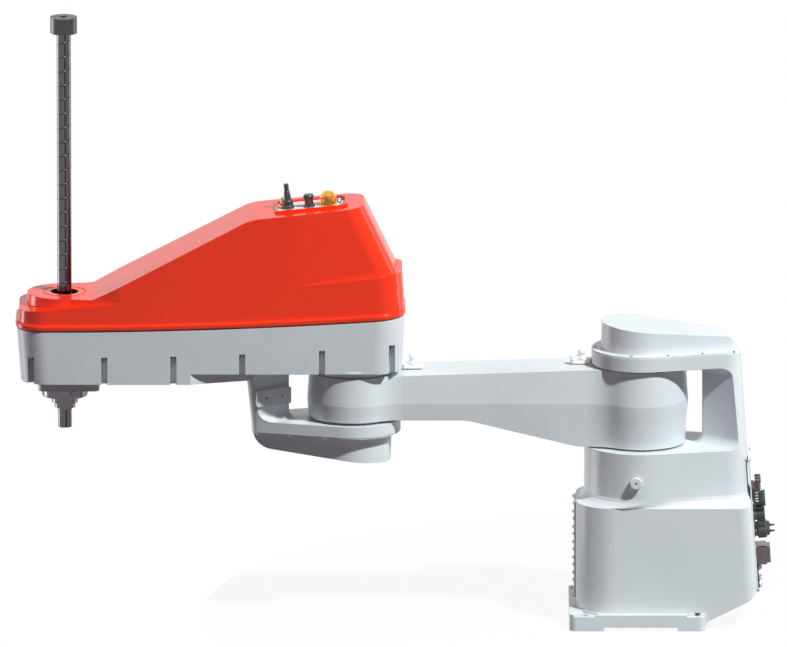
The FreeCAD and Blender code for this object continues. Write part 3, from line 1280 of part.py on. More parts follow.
def build_drives():
    lift_x = LINK_1 + LIFT_MOTOR_X
    roll_x = LINK_1 + ROLL_MOTOR_X
    width = BELT_WIDTH + 2
    rear = roll_x - DRIVE_MOTOR_SIDE / 2 - DRIVE_MARGIN
    low = DRIVE_PLATE_Z
    top = DRIVE_PLATE_TOP
    nut_bearing_r = BALL_NUT_R + BEARING_WALL
    front = SPINDLE_X + nut_bearing_r + 21
    plate = rounded_plate(rear, front, LEG_Y + LEG_R, 2 * LEG_R, low, top)
    legs = []
    for x in (rear + LEG_R + 4, (lift_x + SPINDLE_X) / 2, front - LEG_R - 4):
        for y in (-LEG_Y, LEG_Y):
            legs.append(cylinder(LEG_R, Z_BELLY + FLOOR_THICK, low + 1, x, y))
    frame = fuse([plate] + legs)
    holes = [
        cylinder(nut_bearing_r + SEAT, low - 1, top + 1, SPINDLE_X),
        cylinder(MOTOR_SHAFT_R + 3, low - 1, top + 1, lift_x),
        cylinder(MOTOR_SHAFT_R + 3, low - 1, top + 1, roll_x),
    ]
    nodes["drive_bracket"] = frame.cut(holes)
    nodes["lift_nut_bearing"] = bearing(nut_bearing_r, BALL_NUT_R + RUN_GAP, low, top, SPINDLE_X)
    for name, x, wheel_z in (("lift", lift_x, LIFT_PULLEY_Z), ("roll", roll_x, ROLL_PULLEY_Z)):
        drive = motor(DRIVE_MOTOR_SIDE, DRIVE_MOTOR_LENGTH, MOTOR_SHAFT_R, 1.0, 8)
        drive.translate(Vector(x, 0, top))
        nodes[name + "_motor"] = drive
        wheel = toothed_wheel(MOTOR_TEETH, wheel_z, wheel_z + width, x, MOTOR_SHAFT_R - 1)
        shaft = cylinder(MOTOR_SHAFT_R - 1, wheel_z - PULLEY_FLANGE - 1, top - 1.0 - RUN_GAP, x)
        nodes[name + "_motor_pulley"] = fuse([wheel, shaft])
        nodes[name + "_belt"] = belt(NUT_TEETH, SPINDLE_X, MOTOR_TEETH, x, wheel_z + 1, wheel_z + 1 + BELT_WIDTH)
        body_r = NUT_NOSE_R if name == "roll" else BALL_NUT_R
        nodes[name + "_nut_pulley"] = toothed_wheel(NUT_TEETH, wheel_z, wheel_z + width, SPINDLE_X, body_r)
    nodes["ball_nut"] = fuse([
        tube(BALL_NUT_R, SHAFT_R + RUN_GAP, LIFT_PULLEY_Z - 4, BALL_NUT_TOP, SPINDLE_X),
        tube(BALL_NUT_R + 6, SHAFT_R + RUN_GAP, top + 1, top + 9, SPINDLE_X),
    ])


def spline_cuts(r, z0, z1):
    """Three straight grooves down the shaft, as bars at its surface."""
    bars = []
    for i in range(SPLINES):
        angle = 2 * math.pi * i / SPLINES + math.pi / 2
        bars.append(cylinder(r, z0, z1, SPINDLE_X + SHAFT_R * math.cos(angle), SHAFT_R * math.sin(angle)))
    return bars


def build_spindle():
    shaft = fuse([
        tube(TOOL_END_R, SHAFT_BORE, SHAFT_BOTTOM, SHAFT_BOTTOM + TOOL_END_LENGTH + 1, SPINDLE_X),
        tube(SHAFT_R, SHAFT_BORE, SHAFT_BOTTOM + TOOL_END_LENGTH, SHAFT_TOP, SPINDLE_X),
    ])
    nodes["spindle_shaft"] = shaft.cut(spline_cuts(SPLINE_R, SHAFT_BOTTOM - 1, SHAFT_TOP + 1))
    low = SHAFT_TOP - COLLAR_GRIP
    high = SHAFT_TOP + COLLAR_CAP
    collar = tube(UPPER_COLLAR_R, SHAFT_BORE, SHAFT_TOP, high, SPINDLE_X).fuse(
        tube(UPPER_COLLAR_R, SHAFT_R + SEAT, low, SHAFT_TOP, SPINDLE_X))
    slit_half = COLLAR_SLIT / 2
    slit = box(SPINDLE_X, SPINDLE_X + UPPER_COLLAR_R + 1, -slit_half, slit_half, low - 1, high + 1)
    nodes["upper_collar"] = collar.cut(slit).removeSplitter()
    nodes["lower_collar"] = tube(LOWER_COLLAR_R, SHAFT_R + SEAT, Z_LOWER_COLLAR,
                                 Z_LOWER_COLLAR + LOWER_COLLAR_HEIGHT, SPINDLE_X)
    nut = tube(NUT_NOSE_R, SHAFT_R + RUN_GAP, Z_NUT_NOSE, ROLL_PULLEY_Z + BELT_WIDTH + 6, SPINDLE_X)
    inside = cylinder(SHAFT_R - SPLINE_R + 0.6, Z_NUT_NOSE, LIFT_PULLEY_Z, SPINDLE_X)
    bars = spline_cuts(SPLINE_R - RUN_GAP, Z_NUT_NOSE + 4, ROLL_PULLEY_Z + BELT_WIDTH)
    nodes["spline_nut"] = fuse([nut] + [bar.cut(inside) for bar in bars])
    low = Z_BLOCK + 4
    high = Z_BELLY + FLOOR_THICK
    nodes["spline_nut_bearing"] = bearing(SPINDLE_BEARING_R, NUT_NOSE_R + RUN_GAP, low, high, SPINDLE_X)
    half = BLOCK_SIDE / 2
    block = rounded_plate(SPINDLE_X - half - 9, SPINDLE_X + half - 9, half, BLOCK_CORNER, Z_BLOCK, Z_BELLY)
    flange = block.cut([
        cylinder(SPINDLE_BEARING_R + SEAT, low, Z_BELLY + 1, SPINDLE_X),
        cylinder(NUT_NOSE_R + 3, Z_BLOCK - 1, low + 1, SPINDLE_X),
    ])
    nodes["spindle_flange"] = flange
    ring = tube(GUIDE_RING_R, NUT_NOSE_R + RUN_GAP, Z_GUIDE_RING, Z_BLOCK, SPINDLE_X)
    rim = [e for e in ring.Edges if abs(e.BoundBox.ZMax - Z_GUIDE_RING) < 0.01 and e.Length > 200]
    angle = math.radians(70)
    at = Vector(SPINDLE_X - GUIDE_RING_R * math.cos(angle), GUIDE_RING_R * math.sin(angle), Z_GUIDE_RING + 12)
    out = Vector(-math.cos(angle), math.sin(angle), 0)
    ring = ring.makeFillet(4.0, rim)
    seat = at - out * 0.5
    head_room = Part.makeCylinder(RING_SCREW[1] + SEAT, 6, seat, out)
    nodes["guide_ring"] = ring.cut([screw_hole(RING_SCREW, 10, at, out), head_room])
    nodes["guide_ring_screw"] = screw(RING_SCREW, 9, seat, out)


def zero_pin():
    """Small bracket with a disc and a round-headed pin, drawn on z = 0."""
    foot = rounded_plate(-22, 22, 9, 6, 0, 9)
    disc = cylinder(10, 9, 12)
    stem = cylinder(6.5, 12, 20)
    head = Part.makeSphere(8, Vector(0, 0, 23))
    tail = rounded_plate(-24, -6, 6, 3, 9, 15)
    return fuse([foot, disc, stem, head, tail])


def build_small_parts():
    base_pin = zero_pin()
    base_pin.rotate(Vector(0, 0, 0), Vector(0, 0, 1), 180)
    base_pin.translate(Vector(ARM_R + 22 - 1.0, 0, Z_BARREL_1_TOP + 2))
    nodes["base_zero_pin"] = base_pin.cut(cylinder(ARM_R + SEAT, Z_BARREL_1_TOP, Z_ARM_TOP + 60))
    arm_pin = zero_pin()
    arm_pin.translate(Vector(LINK_1 + HOUSING_REAR - 18, 0, Z_BARREL_2_TOP + 4.5))
    wall = housing_solid(-SEAT, HOUSING_FLOOR - 40, SPLIT_FRONT)
    barrel = cylinder(BARREL_2_R, Z_BARREL_2_TOP, SPLIT_FRONT, LINK_1)
    nodes["arm_zero_pin"] = arm_pin.cut(wall).cut(barrel)
    angle = math.radians(FORK_ANGLE)
    along = Vector(math.cos(angle), math.sin(angle), 0)
    normal = Vector(-math.sin(angle), math.cos(angle), 0)
    centre = Vector(LINK_1 + FORK_TIP, NOTCH_TIP_HALF, 0) + along * TOOL_PLATE_ALONG
    length = TOOL_PLATE_LENGTH
    plate = rounded_plate(-length / 2, length / 2, TOOL_PLATE_HEIGHT / 2, 4, 0, TOOL_PLATE_THICK)
    for x in (-TOOL_HOLE_SPACING / 2, TOOL_HOLE_SPACING / 2):
        plate = plate.cut(cylinder(TOOL_HOLE_R, -1, TOOL_PLATE_THICK + 1, x, 0))
    origin = Vector(centre.x, centre.y, TOOL_PLATE_Z)
    nodes["tool_bracket"] = on_plane(plate, origin, normal, along)


def main():
    nodes["base_casting"] = build_base_casting()
    build_front_cover()
    build_link_1()
    build_link_2()
    build_end_covers()
    build_side_plug()
    build_rear_panel()
    build_rear_connectors()
    build_axis_1()
    build_axis_2()
    build_arm_cover()
    build_plate()
    build_drives()
    build_spindle()
    build_small_parts()
    for name, shape in nodes.items():
        print(name, shape.isValid(), len(shape.Solids), round(shape.Volume / 1e6, 3))
        shape.exportStep("parts/" + name + ".step")


main()
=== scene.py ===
import json
import math

import bmesh
import bpy
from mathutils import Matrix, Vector


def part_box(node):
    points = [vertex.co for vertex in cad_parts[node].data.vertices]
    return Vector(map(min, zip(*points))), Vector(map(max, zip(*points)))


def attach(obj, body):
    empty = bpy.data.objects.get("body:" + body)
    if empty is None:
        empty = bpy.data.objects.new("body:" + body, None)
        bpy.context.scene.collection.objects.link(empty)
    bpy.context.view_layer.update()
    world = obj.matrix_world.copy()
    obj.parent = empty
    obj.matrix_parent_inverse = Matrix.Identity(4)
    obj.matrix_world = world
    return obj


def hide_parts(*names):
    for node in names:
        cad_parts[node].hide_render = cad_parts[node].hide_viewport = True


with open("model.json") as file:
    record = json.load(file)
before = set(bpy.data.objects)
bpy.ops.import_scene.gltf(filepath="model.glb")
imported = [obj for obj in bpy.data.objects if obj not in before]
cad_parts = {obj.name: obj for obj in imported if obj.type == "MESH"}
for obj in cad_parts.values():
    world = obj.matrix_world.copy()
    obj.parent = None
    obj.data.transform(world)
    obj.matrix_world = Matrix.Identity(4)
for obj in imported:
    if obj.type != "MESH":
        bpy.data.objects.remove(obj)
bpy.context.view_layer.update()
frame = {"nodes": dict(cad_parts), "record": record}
nodes = frame["nodes"]
scene = bpy.context.scene

WHITE = (1.0, 1.0, 1.0)

# Camera: metres, degrees, and millimetres for sensor and lens
IMAGE_WIDTH = 787           # pixels
PIXEL = 0.0020818           # metres on the object per pixel
TARGET = Vector((0.5153, 0.0, 0.6266))
CAMERA_UP = 13.0
SENSOR = 36.0
LENS = 1047.0
CLIP_START = 1.0
CLIP_END = 200.0

# Lamps: each stands in a direction from the middle of the robot, is round unless it has a
# height, and its level is what a white surface that faces it gives back
LAMP_DISTANCE = 8.0
LAMPS = (
    dict(name="key", direction=(-0.50, 0.45, 0.74), level=1.24, size=0.55,
         colour=(0.945, 0.99, 0.985)),
    dict(name="top", direction=(0.1, 0.2, 1.0), level=0.03, size=4.0),
    dict(name="left", direction=(0.94, -0.34, -0.05), level=0.55, size=2.4, height=6.0),
    dict(name="right", direction=(-0.94, -0.34, -0.05), level=0.20, size=2.4, height=6.0),
)

# World: soft light that goes from ground to sky between two heights of its direction
SKY = (0.13, 0.104, 0.12)
GROUND = (0.060, 0.032, 0.044)
GROUND_END = -0.5
SKY_START = 0.6

FLOOR_RADIUS = 0.92
FLOOR_SEGMENTS = 96
FLOOR_DROP = 0.0004         # below the mounting plane
FLOOR_COLOUR = (0.30, 0.30, 0.30)
FLOOR_GLOW = 1.16
FLOOR_SHARE = 0.80          # share of the glow in what is seen of the floor

# Spindle: ground shaft with a helical groove, three straight ones and a plain tool end
SPINDLE_X = 1.2
SHAFT_R = 0.015
SHAFT_BORE = 0.007
TOOL_END_R = 0.0145
TOOL_END_LENGTH = 0.036
HELIX_START = 0.060         # above the bottom of the shaft
HELIX_END = 0.010           # below its top
LEAD = 0.030
HELIX_HALF = 0.0013
HELIX_DEPTH = 0.0009
HELIX_STEPS = (-1.0, -0.6, 0.0, 0.6, 1.0)
HELIX_PHASE = 0.35          # share of a lead by which the first groove is late
SPLINE_HALF = 0.0019
SPLINE_DEPTH = 0.0015
SPLINE_START = math.pi / 2 + 0.22
SPLINES = 3
SPLINE_COLUMNS = 7          # columns of points across a straight groove
PLAIN_COLUMNS = 12          # steps between one straight groove and the next
SHARP_ANGLE = math.radians(38)
WELD = 1e-6                 # points nearer than this become one

# Spindle's finish, with painted shade in the grooves and painted highlights where they cross
SHAFT_DARK = (0.085, 0.077, 0.085)
SHAFT_LIGHT = (0.135, 0.125, 0.135)
# painted shade: the grooves get a darker colour, standing for the shade that falls in them
GROOVE_PAINTED_SHADE = (0.045, 0.040, 0.044)
GROOVE_SHADE_LOW = 0.0138         # radii between which a groove's painted shade turns to steel
GROOVE_SHADE_HIGH = 0.0145
# painted highlight: near-white spots where the helix crosses a straight groove
SPOT_PAINTED_HIGHLIGHT = (0.9, 0.9, 0.9)
HIGHLIGHT_INNER = 0.0012         # radii of the painted highlights where the grooves cross
HIGHLIGHT_OUTER = 0.0020

# Finish of the small fittings
# painted shade: dark steel for screws that sit in shade, in the cover's slots and under the
# spindle flange
SCREW_PAINTED_SHADE = (0.09, 0.09, 0.10), (0.17, 0.17, 0.18)
BLOCK_GREY = (0.30, 0.30, 0.33), (0.62, 0.62, 0.66)
BROWN_METAL = (0.115, 0.083, 0.090)
DARK_PLASTIC = (0.026, 0.034, 0.032)
DOME_WHITE = (0.80, 0.81, 0.81)
PART_EDGE = 0.0003          # half the width over which one finish turns into the next
UPRIGHT = (0.0, 0.0, 1.0)
ELBOW_HEIGHT = 0.265
ACROSS_PANEL = (1.0, 0.0, -0.0702)          # square to the leaning rear panel
PANEL_X = -0.2505                           # the panel's face along it
SIGNAL_COLLAR = 0.0075                      # lengths out from that face
PLUG_COLLAR = 0.0036
ACROSS_PLATEAU = (0.09812, 0.0, 0.99517)    # square to the connector plate
CAP_HEIGHT = 0.9603                         # heights along it
GLAND_HEIGHT = 0.9493

# Stretch of a texture: the same all ways, or streaks round Z or along X and Z
ALL_WAYS = (1.0, 1.0, 1.0)
ROUND_Z = (1.0, 1.0, 14.0)
ACROSS_Y = (1.0, 8.0, 1.0)

# Sockets of a mix node for colours, and of one for shaders
MIX_SHARE, MIX_FIRST, MIX_SECOND, MIX_OUT = 0, 6, 7, 2
SHADER_SHARE, SHADER_FIRST, SHADER_SECOND = 0, 1, 2
BEVEL_SAMPLES = 6


def srgb(r, g, b):
    """Linear colour from eight-bit values."""
    out = []
    for value in (r, g, b):
        share = value / 255.0
        out.append(share / 12.92 if share <= 0.04045 else ((share + 0.055) / 1.055) ** 2.4)
    return tuple(out)


def crossing_height(angle):
    """Height at which the helix passes an angle, give or take whole leads."""
    first = SPLINE_START - SPLINE_HALF / SHAFT_R
    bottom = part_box("spindle_shaft")[0].z
    return bottom + HELIX_START + HELIX_PHASE * LEAD + LEAD * (angle - first) / math.tau


# Materials

class Tree:
    """A node tree with short ways to add nodes; a value is an output, or a plain one."""

    def __init__(self, owner, empty=False):
        owner.use_nodes = True
        self.tree = owner.node_tree
        if empty:
            self.tree.nodes.clear()

    def feed(self, socket, value):
        if isinstance(value, bpy.types.NodeSocket):
            self.tree.links.new(value, socket)
        elif socket.type == "RGBA":
            socket.default_value = (*value, 1.0)
        else:
            socket.default_value = value

    def node(self, kind, inputs=None, **settings):
        node = self.tree.nodes.new(kind)
        for name, value in settings.items():
            setattr(node, name, value)
        for name, value in (inputs or {}).items():
            self.feed(node.inputs[name], value)
        return node

    def maths(self, operation, first, second):
        return self.node("ShaderNodeMath", {0: first, 1: second}, operation=operation).outputs[0]

    def vector_maths(self, operation, *values):
        return self.node(
            "ShaderNodeVectorMath", dict(enumerate(values)), operation=operation).outputs

    def spread(self, value, low=0.0, high=1.0, start=0.3, end=0.7):
        """Value from start to end turned into low to high."""
        return self.node("ShaderNodeMapRange", {
            "Value": value, "From Min": start, "From Max": end,
            "To Min": low, "To Max": high}).outputs["Result"]

    def blend(self, share, first, second):
        return self.node("ShaderNodeMix", {
            MIX_SHARE: share, MIX_FIRST: first, MIX_SECOND: second},
            data_type="RGBA").outputs[MIX_OUT]

    def blend_shaders(self, share, first, second):
        return self.node("ShaderNodeMixShader", {
            SHADER_SHARE: share, SHADER_FIRST: first.outputs[0],
            SHADER_SECOND: second.outputs[0]}).outputs[0]


class Surface(Tree):
    """A new material's tree with its shader and ways to add textures and bumps."""

    def __init__(self, name):
        self.material = bpy.data.materials.new(name)
        super().__init__(self.material)
        self.shader = self.tree.nodes["Principled BSDF"]
        self.place = self.node("ShaderNodeTexCoord").outputs["Object"]

    def put(self, **values):
        """Feed the shader's sockets by their names, with _ for a space."""
        for name, value in values.items():
            self.feed(self.shader.inputs[name.replace("_", " ")], value)

    def stretched(self, scale):
        return self.node(
            "ShaderNodeMapping", {"Vector": self.place, "Scale": scale}).outputs["Vector"]

    def noise(self, scale, detail=2.0, rough=0.5, place=None):
        return self.node("ShaderNodeTexNoise", {
            "Vector": place or self.place, "Scale": scale,
            "Detail": detail, "Roughness": rough}).outputs["Fac"]

    def bump(self, height, strength, distance, edge):
        """Relief on a surface whose edges look rounded to a radius."""
        bevel = self.node("ShaderNodeBevel", {"Radius": edge}, samples=BEVEL_SAMPLES)
        return self.node("ShaderNodeBump", {
            "Height": height, "Strength": strength, "Distance": distance,
            "Normal": bevel.outputs["Normal"]}).outputs["Normal"]


def powder_paint():
    """Satin powder coat: fine weak grain, faint cloudy shade and uneven gloss."""
    s = Surface("casting_paint")
    s.put(
        Base_Color=s.blend(
            s.spread(s.noise(7.0, 3.0)), srgb(216, 223, 226), srgb(224, 230, 233)),
        Roughness=s.spread(s.noise(24.0), 0.29, 0.36),
        Specular_IOR_Level=0.22,
        Normal=s.bump(s.noise(900.0, 1.0), strength=0.04, distance=0.0004, edge=0.0012))
    return s.material


def red_gloss():
    """Glossy moulded cover: even colour, a very weak grain and a lacquer coat."""
    s = Surface("cover_red")
    s.put(
        Base_Color=s.blend(s.spread(s.noise(5.0)), (0.96, 0.031, 0.003), (0.99, 0.036, 0.003)),
        Roughness=s.spread(s.noise(12.0), 0.26, 0.30),
        Specular_IOR_Level=0.08, Coat_Weight=0.38, Coat_Roughness=0.06,
        Normal=s.bump(s.noise(900.0, 1.0), strength=0.01, distance=0.0003, edge=0.003))
    return s.material


def white_paint():
    """Smooth white paint of the plates and pin holders."""
    s = Surface("plate_white")
    s.put(
        Base_Color=s.blend(s.spread(s.noise(20.0)), srgb(238, 238, 238), srgb(246, 246, 245)),
        Roughness=s.spread(s.noise(90.0, 3.0), 0.34, 0.46),
        Normal=s.bump(s.noise(1500.0, 1.0), strength=0.08, distance=0.0003, edge=0.0005))
    return s.material


def amber_glass():
    """Clear amber lens with a faint swirl."""
    s = Surface("lamp_amber")
    s.put(
        Base_Color=s.blend(s.spread(s.noise(40.0)), (0.955, 0.56, 0.13), (0.975, 0.66, 0.20)),
        Roughness=s.spread(s.noise(160.0), 0.01, 0.04),
        Transmission_Weight=1.0, IOR=1.45)
    return s.material


def metal(name, dark, light, roughness, stretch, scale):
    """Machined metal: streaks in shade, gloss and relief."""
    s = Surface(name)
    place = s.stretched(stretch)
    streaks = s.noise(scale, 3.0, 0.6, place)
    s.put(
        Base_Color=s.blend(s.spread(streaks), dark, light),
        Roughness=s.spread(s.noise(scale * 0.6, 4.0, 0.6, place), *roughness),
        Metallic=1.0,
        Normal=s.bump(streaks, strength=0.12, distance=0.0003, edge=0.0004))
    return s.material


def moulded(name, dark, light, roughness, grain):
    """Moulded plastic or rubber with a fine grain."""
    s = Surface(name)
    s.put(
        Base_Color=s.blend(s.spread(s.noise(60.0, 3.0)), dark, light),
        Roughness=s.spread(s.noise(220.0, 3.0), *roughness),
        Normal=s.bump(s.noise(grain), strength=0.15, distance=0.0003, edge=0.0004))
    return s.material


def ground_shaft():
    """Ground steel shaft: painted shade darkens the grooves, and painted highlights brighten the
    spots where the helix crosses a straight groove.
    """
    s = Surface("shaft_ground")
    place = s.stretched(ROUND_Z)
    centred = s.vector_maths("SUBTRACT", s.place, (SPINDLE_X, 0.0, 0.0))["Vector"]
    flat = s.vector_maths("MULTIPLY", centred, (1.0, 1.0, 0.0))["Vector"]
    radius = s.vector_maths("LENGTH", flat)["Value"]
    steel = s.blend(s.spread(s.noise(150.0, 3.0, 0.6, place)), SHAFT_DARK, SHAFT_LIGHT)
    # painted shade: darker colour inside the grooves, where the radius drops
    colour = s.blend(s.spread(radius, 0.0, 1.0, GROOVE_SHADE_LOW, GROOVE_SHADE_HIGH), GROOVE_PAINTED_SHADE, steel)
    split = s.node("ShaderNodeSeparateXYZ", {0: centred}).outputs
    # painted highlight: a bright spot where the helix crosses each straight groove
    for i in range(SPLINES):
        angle = SPLINE_START + i * math.tau / SPLINES
        climb = s.maths("SUBTRACT", split["Z"], crossing_height(angle))
        point = s.node("ShaderNodeCombineXYZ", {
            "X": split["X"], "Y": split["Y"], "Z": s.maths("PINGPONG", climb, LEAD / 2)})
        crossing = (SHAFT_R * math.cos(angle), SHAFT_R * math.sin(angle), 0.0)
        gap = s.vector_maths("DISTANCE", point.outputs[0], crossing)["Value"]
        colour = s.blend(s.spread(gap, 0.0, 1.0, HIGHLIGHT_INNER, HIGHLIGHT_OUTER), SPOT_PAINTED_HIGHLIGHT, colour)
    s.put(
        Base_Color=colour, Metallic=1.0,
        Roughness=s.spread(s.noise(90.0, 3.0, 0.6, place), 0.07, 0.12))
    return s.material


def two_tone(name, near, far, axis, split, roughness, metallic):
    """Two finishes on one node, parted where a point's distance along axis passes split."""
    s = Surface(name)
    along = s.vector_maths("DOT_PRODUCT", s.place, axis)["Value"]
    share = s.spread(along, 0.0, 1.0, split - PART_EDGE, split + PART_EDGE)
    grain = s.spread(s.noise(260.0, 3.0), 0.6, 1.5)
    shade = s.node("ShaderNodeVectorMath", {
        0: s.blend(share, near, far), "Scale": grain}, operation="SCALE").outputs[0]
    s.put(
        Base_Color=shade,
        Roughness=s.spread(s.noise(220.0, 3.0), roughness - 0.08, roughness + 0.08),
        Metallic=s.spread(share, *metallic, 0.0, 1.0),
        Normal=s.bump(s.noise(900.0), strength=0.12, distance=0.0003, edge=0.0004))
    return s.material


# Name: dark and light shade, roughness from and to, stretch, scale of the streaks
METALS = {
    "screw_steel": ((0.34, 0.34, 0.355), (0.46, 0.46, 0.48), (0.22, 0.40), ALL_WAYS, 700.0),
    "connector_metal": ((0.075, 0.055, 0.060), (0.21, 0.17, 0.18), (0.14, 0.30), ROUND_Z, 260.0),
    "gear_steel": ((0.34, 0.34, 0.36), (0.48, 0.48, 0.50), (0.25, 0.42), ROUND_Z, 180.0),
    "bearing_steel": ((0.58, 0.58, 0.60), (0.72, 0.72, 0.74), (0.10, 0.22), ROUND_Z, 260.0),
    "bracket_aluminium": ((0.56, 0.57, 0.58), (0.68, 0.69, 0.70), (0.26, 0.44), ACROSS_Y, 220.0),
    "fitting_brass": ((0.62, 0.42, 0.10), (0.80, 0.58, 0.18), (0.16, 0.32), ROUND_Z, 320.0),
    "spindle_steel": ((0.095, 0.085, 0.094), (0.14, 0.128, 0.138), (0.16, 0.26), ROUND_Z, 150.0),
    "collar_black": ((0.055, 0.050, 0.055), (0.095, 0.087, 0.095), (0.24, 0.38), ROUND_Z, 240.0),
}

# Name: dark and light shade, roughness from and to, scale of the grain
PLASTICS = {
    "screw_red": ((0.50, 0.045, 0.02), (0.62, 0.07, 0.03), (0.25, 0.40), 900.0),
    "connector_black": ((0.020, 0.027, 0.026), (0.038, 0.047, 0.045), (0.42, 0.62), 1400.0),
    "motor_black": ((0.010, 0.010, 0.011), (0.020, 0.020, 0.022), (0.38, 0.55), 1100.0),
    "seal_rubber": ((0.010, 0.010, 0.010), (0.022, 0.022, 0.022), (0.6, 0.8), 1800.0),
}

# Name: near and far colour, direction, where they part along it, roughness, metallic for each
TWO_TONES = {
    "fittings_two_tone": (
        DARK_PLASTIC, BROWN_METAL, UPRIGHT, ELBOW_HEIGHT, 0.32, (0.0, 0.9)),
    "signal_two_tone": (
        DARK_PLASTIC, BROWN_METAL, ACROSS_PANEL, PANEL_X - SIGNAL_COLLAR, 0.36, (0.0, 0.9)),
    "plugs_two_tone": (
        DOME_WHITE, BROWN_METAL, ACROSS_PANEL, PANEL_X - PLUG_COLLAR, 0.34, (0.0, 0.9)),
    "capped_two_tone": (
        BROWN_METAL, DARK_PLASTIC, ACROSS_PLATEAU, CAP_HEIGHT, 0.30, (0.9, 0.0)),
    "gland_two_tone": (
        BROWN_METAL, DARK_PLASTIC, ACROSS_PLATEAU, GLAND_HEIGHT, 0.34, (0.9, 0.0)),
}

finish = {
    "casting_paint": powder_paint(),
    "cover_red": red_gloss(),
    "plate_white": white_paint(),
    "lamp_amber": amber_glass(),
    "screw_painted_shade": metal("screw_painted_shade", *SCREW_PAINTED_SHADE, (0.25, 0.42), ALL_WAYS, 700.0),
    "block_grey": moulded("block_grey", *BLOCK_GREY, (0.25, 0.40), 700.0),
}
finish.update((name, metal(name, *values)) for name, values in METALS.items())
finish.update((name, moulded(name, *values)) for name, values in PLASTICS.items())
finish.update((name, two_tone(name, *values)) for name, values in TWO_TONES.items())

# Nodes that look different from their slot
SPECIAL = {
    # painted shade: these two screws get dark steel for the shade they sit in
    "arm_cover_screws": "screw_painted_shade",
    "guide_ring_screw": "screw_painted_shade",
    "lamp_block": "block_grey",
    "base_air_fittings": "fittings_two_tone",
    "base_signal_connectors": "signal_two_tone",
    "base_blanking_plugs": "plugs_two_tone",
    "capped_connector": "capped_two_tone",
    "cable_gland": "gland_two_tone",
}


def dress_nodes():
    """Give every carried-over node the finish of its slot, or its own."""
    slots = {part["node"]: part["material_slot"] for part in frame["record"]["subparts"]}
    for name, node in nodes.items():
        node.data.materials.clear()
        node.data.materials.append(finish[SPECIAL.get(name, slots[name])])


# Meshes

def new_object(name, mesh, body, surface):
    piece = bpy.data.objects.new(name, mesh)
    scene.collection.objects.link(piece)
    mesh.materials.append(surface)
    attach(piece, body)
    return piece


def groove_depth(share):
    """Depth share of a round-bottomed groove at -1 to 1 across it."""
    return math.sqrt(max(0.0, 1.0 - share * share))


def shaft_columns():
    """Angles round the shaft with their depth, dense across each straight groove."""
    columns = []
    half = SPLINE_HALF / SHAFT_R
    gap = math.tau / SPLINES - 2 * half
    for i in range(SPLINES):
        centre = SPLINE_START + i * math.tau / SPLINES
        for k in range(SPLINE_COLUMNS):
            share = -1 + 2 * k / (SPLINE_COLUMNS - 1)
            columns.append((centre + share * half, SPLINE_DEPTH * groove_depth(share)))
        for k in range(1, PLAIN_COLUMNS):
            columns.append((centre + half + gap * k / PLAIN_COLUMNS, 0.0))
    return columns


def shaft_point(angle, r, z):
    return (SPINDLE_X + r * math.cos(angle), r * math.sin(angle), z)


def shaft_ring(columns, r, z):
    return [shaft_point(angle, r - cut, z) for angle, cut in columns]


def helix_rows(columns, low, high):
    """Rows along the helical groove; each ends one lead above its start."""
    rows = []
    first = columns[0][0]
    for turn in range(-2, int((high - low) / LEAD) + 3):
        for share in HELIX_STEPS:
            start = low + (turn + HELIX_PHASE) * LEAD + share * HELIX_HALF
            row = []
            for angle, straight in columns:
                z = start + LEAD * (angle - first) / math.tau
                cut = HELIX_DEPTH * groove_depth(share) if low < z < high else 0.0
                r = SHAFT_R - max(straight, cut)
                row.append(shaft_point(angle, r, min(max(z, low), high)))
            rows.append(row)
    return rows


def add_rows(work, rows, shift=0):
    """Faces between rows of points, closed round: a row's end meets the row shift later."""
    count = len(rows[0])
    grid = [[work.verts.new(point) for point in row] for row in rows]
    for i in range(len(rows) - 1 - shift):
        for j in range(count):
            k = (j + 1) % count
            step = shift if k == 0 else 0
            work.faces.new((grid[i][j], grid[i + step][k], grid[i + 1 + step][k], grid[i + 1][j]))
    for i in range(len(rows) - 1 - shift, len(rows) - 1):
        for j in range(count - 1):
            work.faces.new((grid[i][j], grid[i][j + 1], grid[i + 1][j + 1], grid[i + 1][j]))


def build_spindle():
    """The hollow shaft with its grooves, in place of the plain node."""
    low, high = (corner.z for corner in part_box("spindle_shaft"))
    columns = shaft_columns()
    bore = [(angle, 0.0) for angle, cut in columns]
    step = low + TOOL_END_LENGTH
    start = low + HELIX_START
    end = high - HELIX_END
    work = bmesh.new()
    add_rows(work, [
        shaft_ring(bore, SHAFT_BORE, high), shaft_ring(bore, SHAFT_BORE, low),
        shaft_ring(columns, TOOL_END_R, low), shaft_ring(columns, TOOL_END_R, step),
        shaft_ring(columns, SHAFT_R, step), shaft_ring(columns, SHAFT_R, start),
    ])
    add_rows(work, helix_rows(columns, start, end), len(HELIX_STEPS))
    add_rows(work, [
        shaft_ring(columns, SHAFT_R, end), shaft_ring(columns, SHAFT_R, high),
        shaft_ring(bore, SHAFT_BORE, high),
    ])
    bmesh.ops.remove_doubles(work, verts=work.verts, dist=WELD)
    bmesh.ops.dissolve_degenerate(work, edges=work.edges, dist=WELD)
    bmesh.ops.recalc_face_normals(work, faces=work.faces)
    mesh = bpy.data.meshes.new("spindle_shaft_grooved")
    work.to_mesh(mesh)
    work.free()
    mesh.shade_smooth()
    mesh.set_sharp_from_angle(angle=SHARP_ANGLE)
    shaft = new_object("spindle_shaft_grooved", mesh, "spindle", ground_shaft())
    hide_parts("spindle_shaft")


# Stage, light and camera

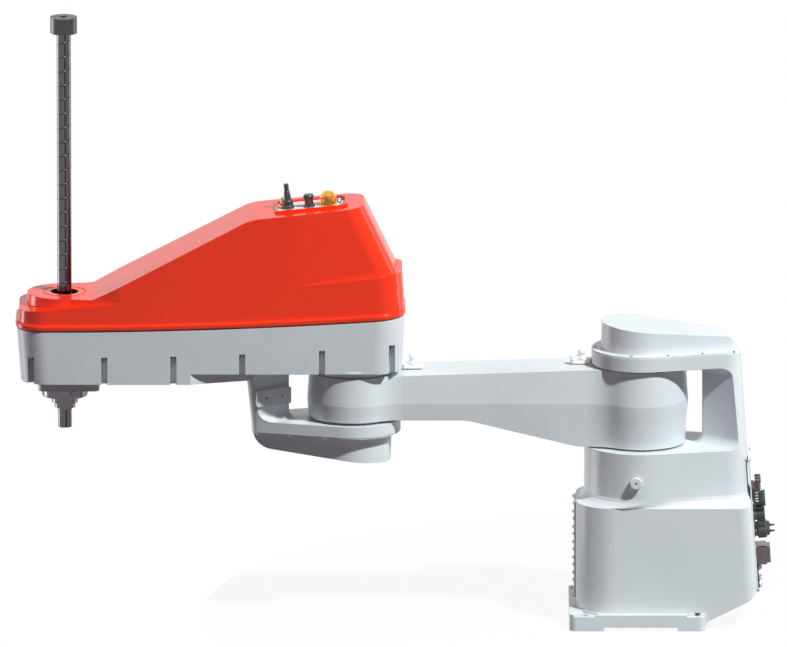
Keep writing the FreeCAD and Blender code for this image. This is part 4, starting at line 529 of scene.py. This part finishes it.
def build_floor():
    """Pale disc that takes the shadow; seen directly or in a reflection it is nearly white."""
    mesh = bpy.data.meshes.new("floor")
    work = bmesh.new()
    bmesh.ops.create_circle(work, cap_ends=True, segments=FLOOR_SEGMENTS, radius=FLOOR_RADIUS)
    work.to_mesh(mesh)
    work.free()
    floor = bpy.data.objects.new("floor", mesh)
    scene.collection.objects.link(floor)
    floor.location.z = -FLOOR_DROP
    material = bpy.data.materials.new("floor")
    tree = Tree(material, empty=True)
    path = tree.node("ShaderNodeLightPath").outputs
    seen = tree.maths("MAXIMUM", path["Is Camera Ray"], path["Is Glossy Ray"])
    pale = tree.node("ShaderNodeBsdfDiffuse", {"Color": FLOOR_COLOUR})
    glow = tree.node("ShaderNodeEmission", {"Strength": FLOOR_GLOW})
    look = tree.blend_shaders(tree.maths("MULTIPLY", seen, FLOOR_SHARE), pale, glow)
    tree.node("ShaderNodeOutputMaterial", {"Surface": look})
    mesh.materials.append(material)


def build_world():
    """White seen directly, in reflections and through glass; soft light for all the rest."""
    world = bpy.data.worlds.new("studio")
    scene.world = world
    tree = Tree(world, empty=True)
    place = tree.node("ShaderNodeTexCoord").outputs["Generated"]
    height = tree.node("ShaderNodeSeparateXYZ", {0: place}).outputs["Z"]
    shade = tree.blend(tree.spread(height, 0.0, 1.0, GROUND_END, SKY_START), GROUND, SKY)
    path = tree.node("ShaderNodeLightPath").outputs
    seen = tree.maths("MAXIMUM", path["Is Camera Ray"], path["Is Glossy Ray"])
    seen = tree.maths("MAXIMUM", seen, path["Is Transmission Ray"])
    soft = tree.node("ShaderNodeBackground", {"Color": shade})
    white = tree.node("ShaderNodeBackground", {"Color": WHITE})
    tree.node("ShaderNodeOutputWorld", {"Surface": tree.blend_shaders(seen, soft, white)})


def add_lamp(name, direction, level, size, colour=WHITE, height=None):
    data = bpy.data.lights.new(name, "AREA")
    data.shape = "RECTANGLE" if height else "DISK"
    data.size = size
    if height:
        data.size_y = height
    data.energy = level * (math.pi * LAMP_DISTANCE) ** 2
    data.color = colour
    lamp = bpy.data.objects.new(name, data)
    scene.collection.objects.link(lamp)
    away = Vector(direction).normalized()
    lamp.location = TARGET + away * LAMP_DISTANCE
    lamp.rotation_euler = away.to_track_quat("Z", "Y").to_euler()


def build_camera():
    """Long lens far off, so that the picture's width spans its share of metres at the target."""
    data = bpy.data.cameras.new("camera")
    data.sensor_width = SENSOR
    data.lens = LENS
    data.clip_start = CLIP_START
    data.clip_end = CLIP_END
    camera = bpy.data.objects.new("camera", data)
    scene.collection.objects.link(camera)
    distance = PIXEL * IMAGE_WIDTH * LENS / SENSOR
    up = math.radians(CAMERA_UP)
    away = Vector((0.0, math.cos(up), math.sin(up)))
    camera.location = TARGET + away * distance
    camera.rotation_euler = away.to_track_quat("Z", "Y").to_euler()
    scene.camera = camera


dress_nodes()
build_spindle()
build_floor()
build_world()
for lamp in LAMPS:
    add_lamp(**lamp)
build_camera()
scene.view_settings.view_transform = "Standard"
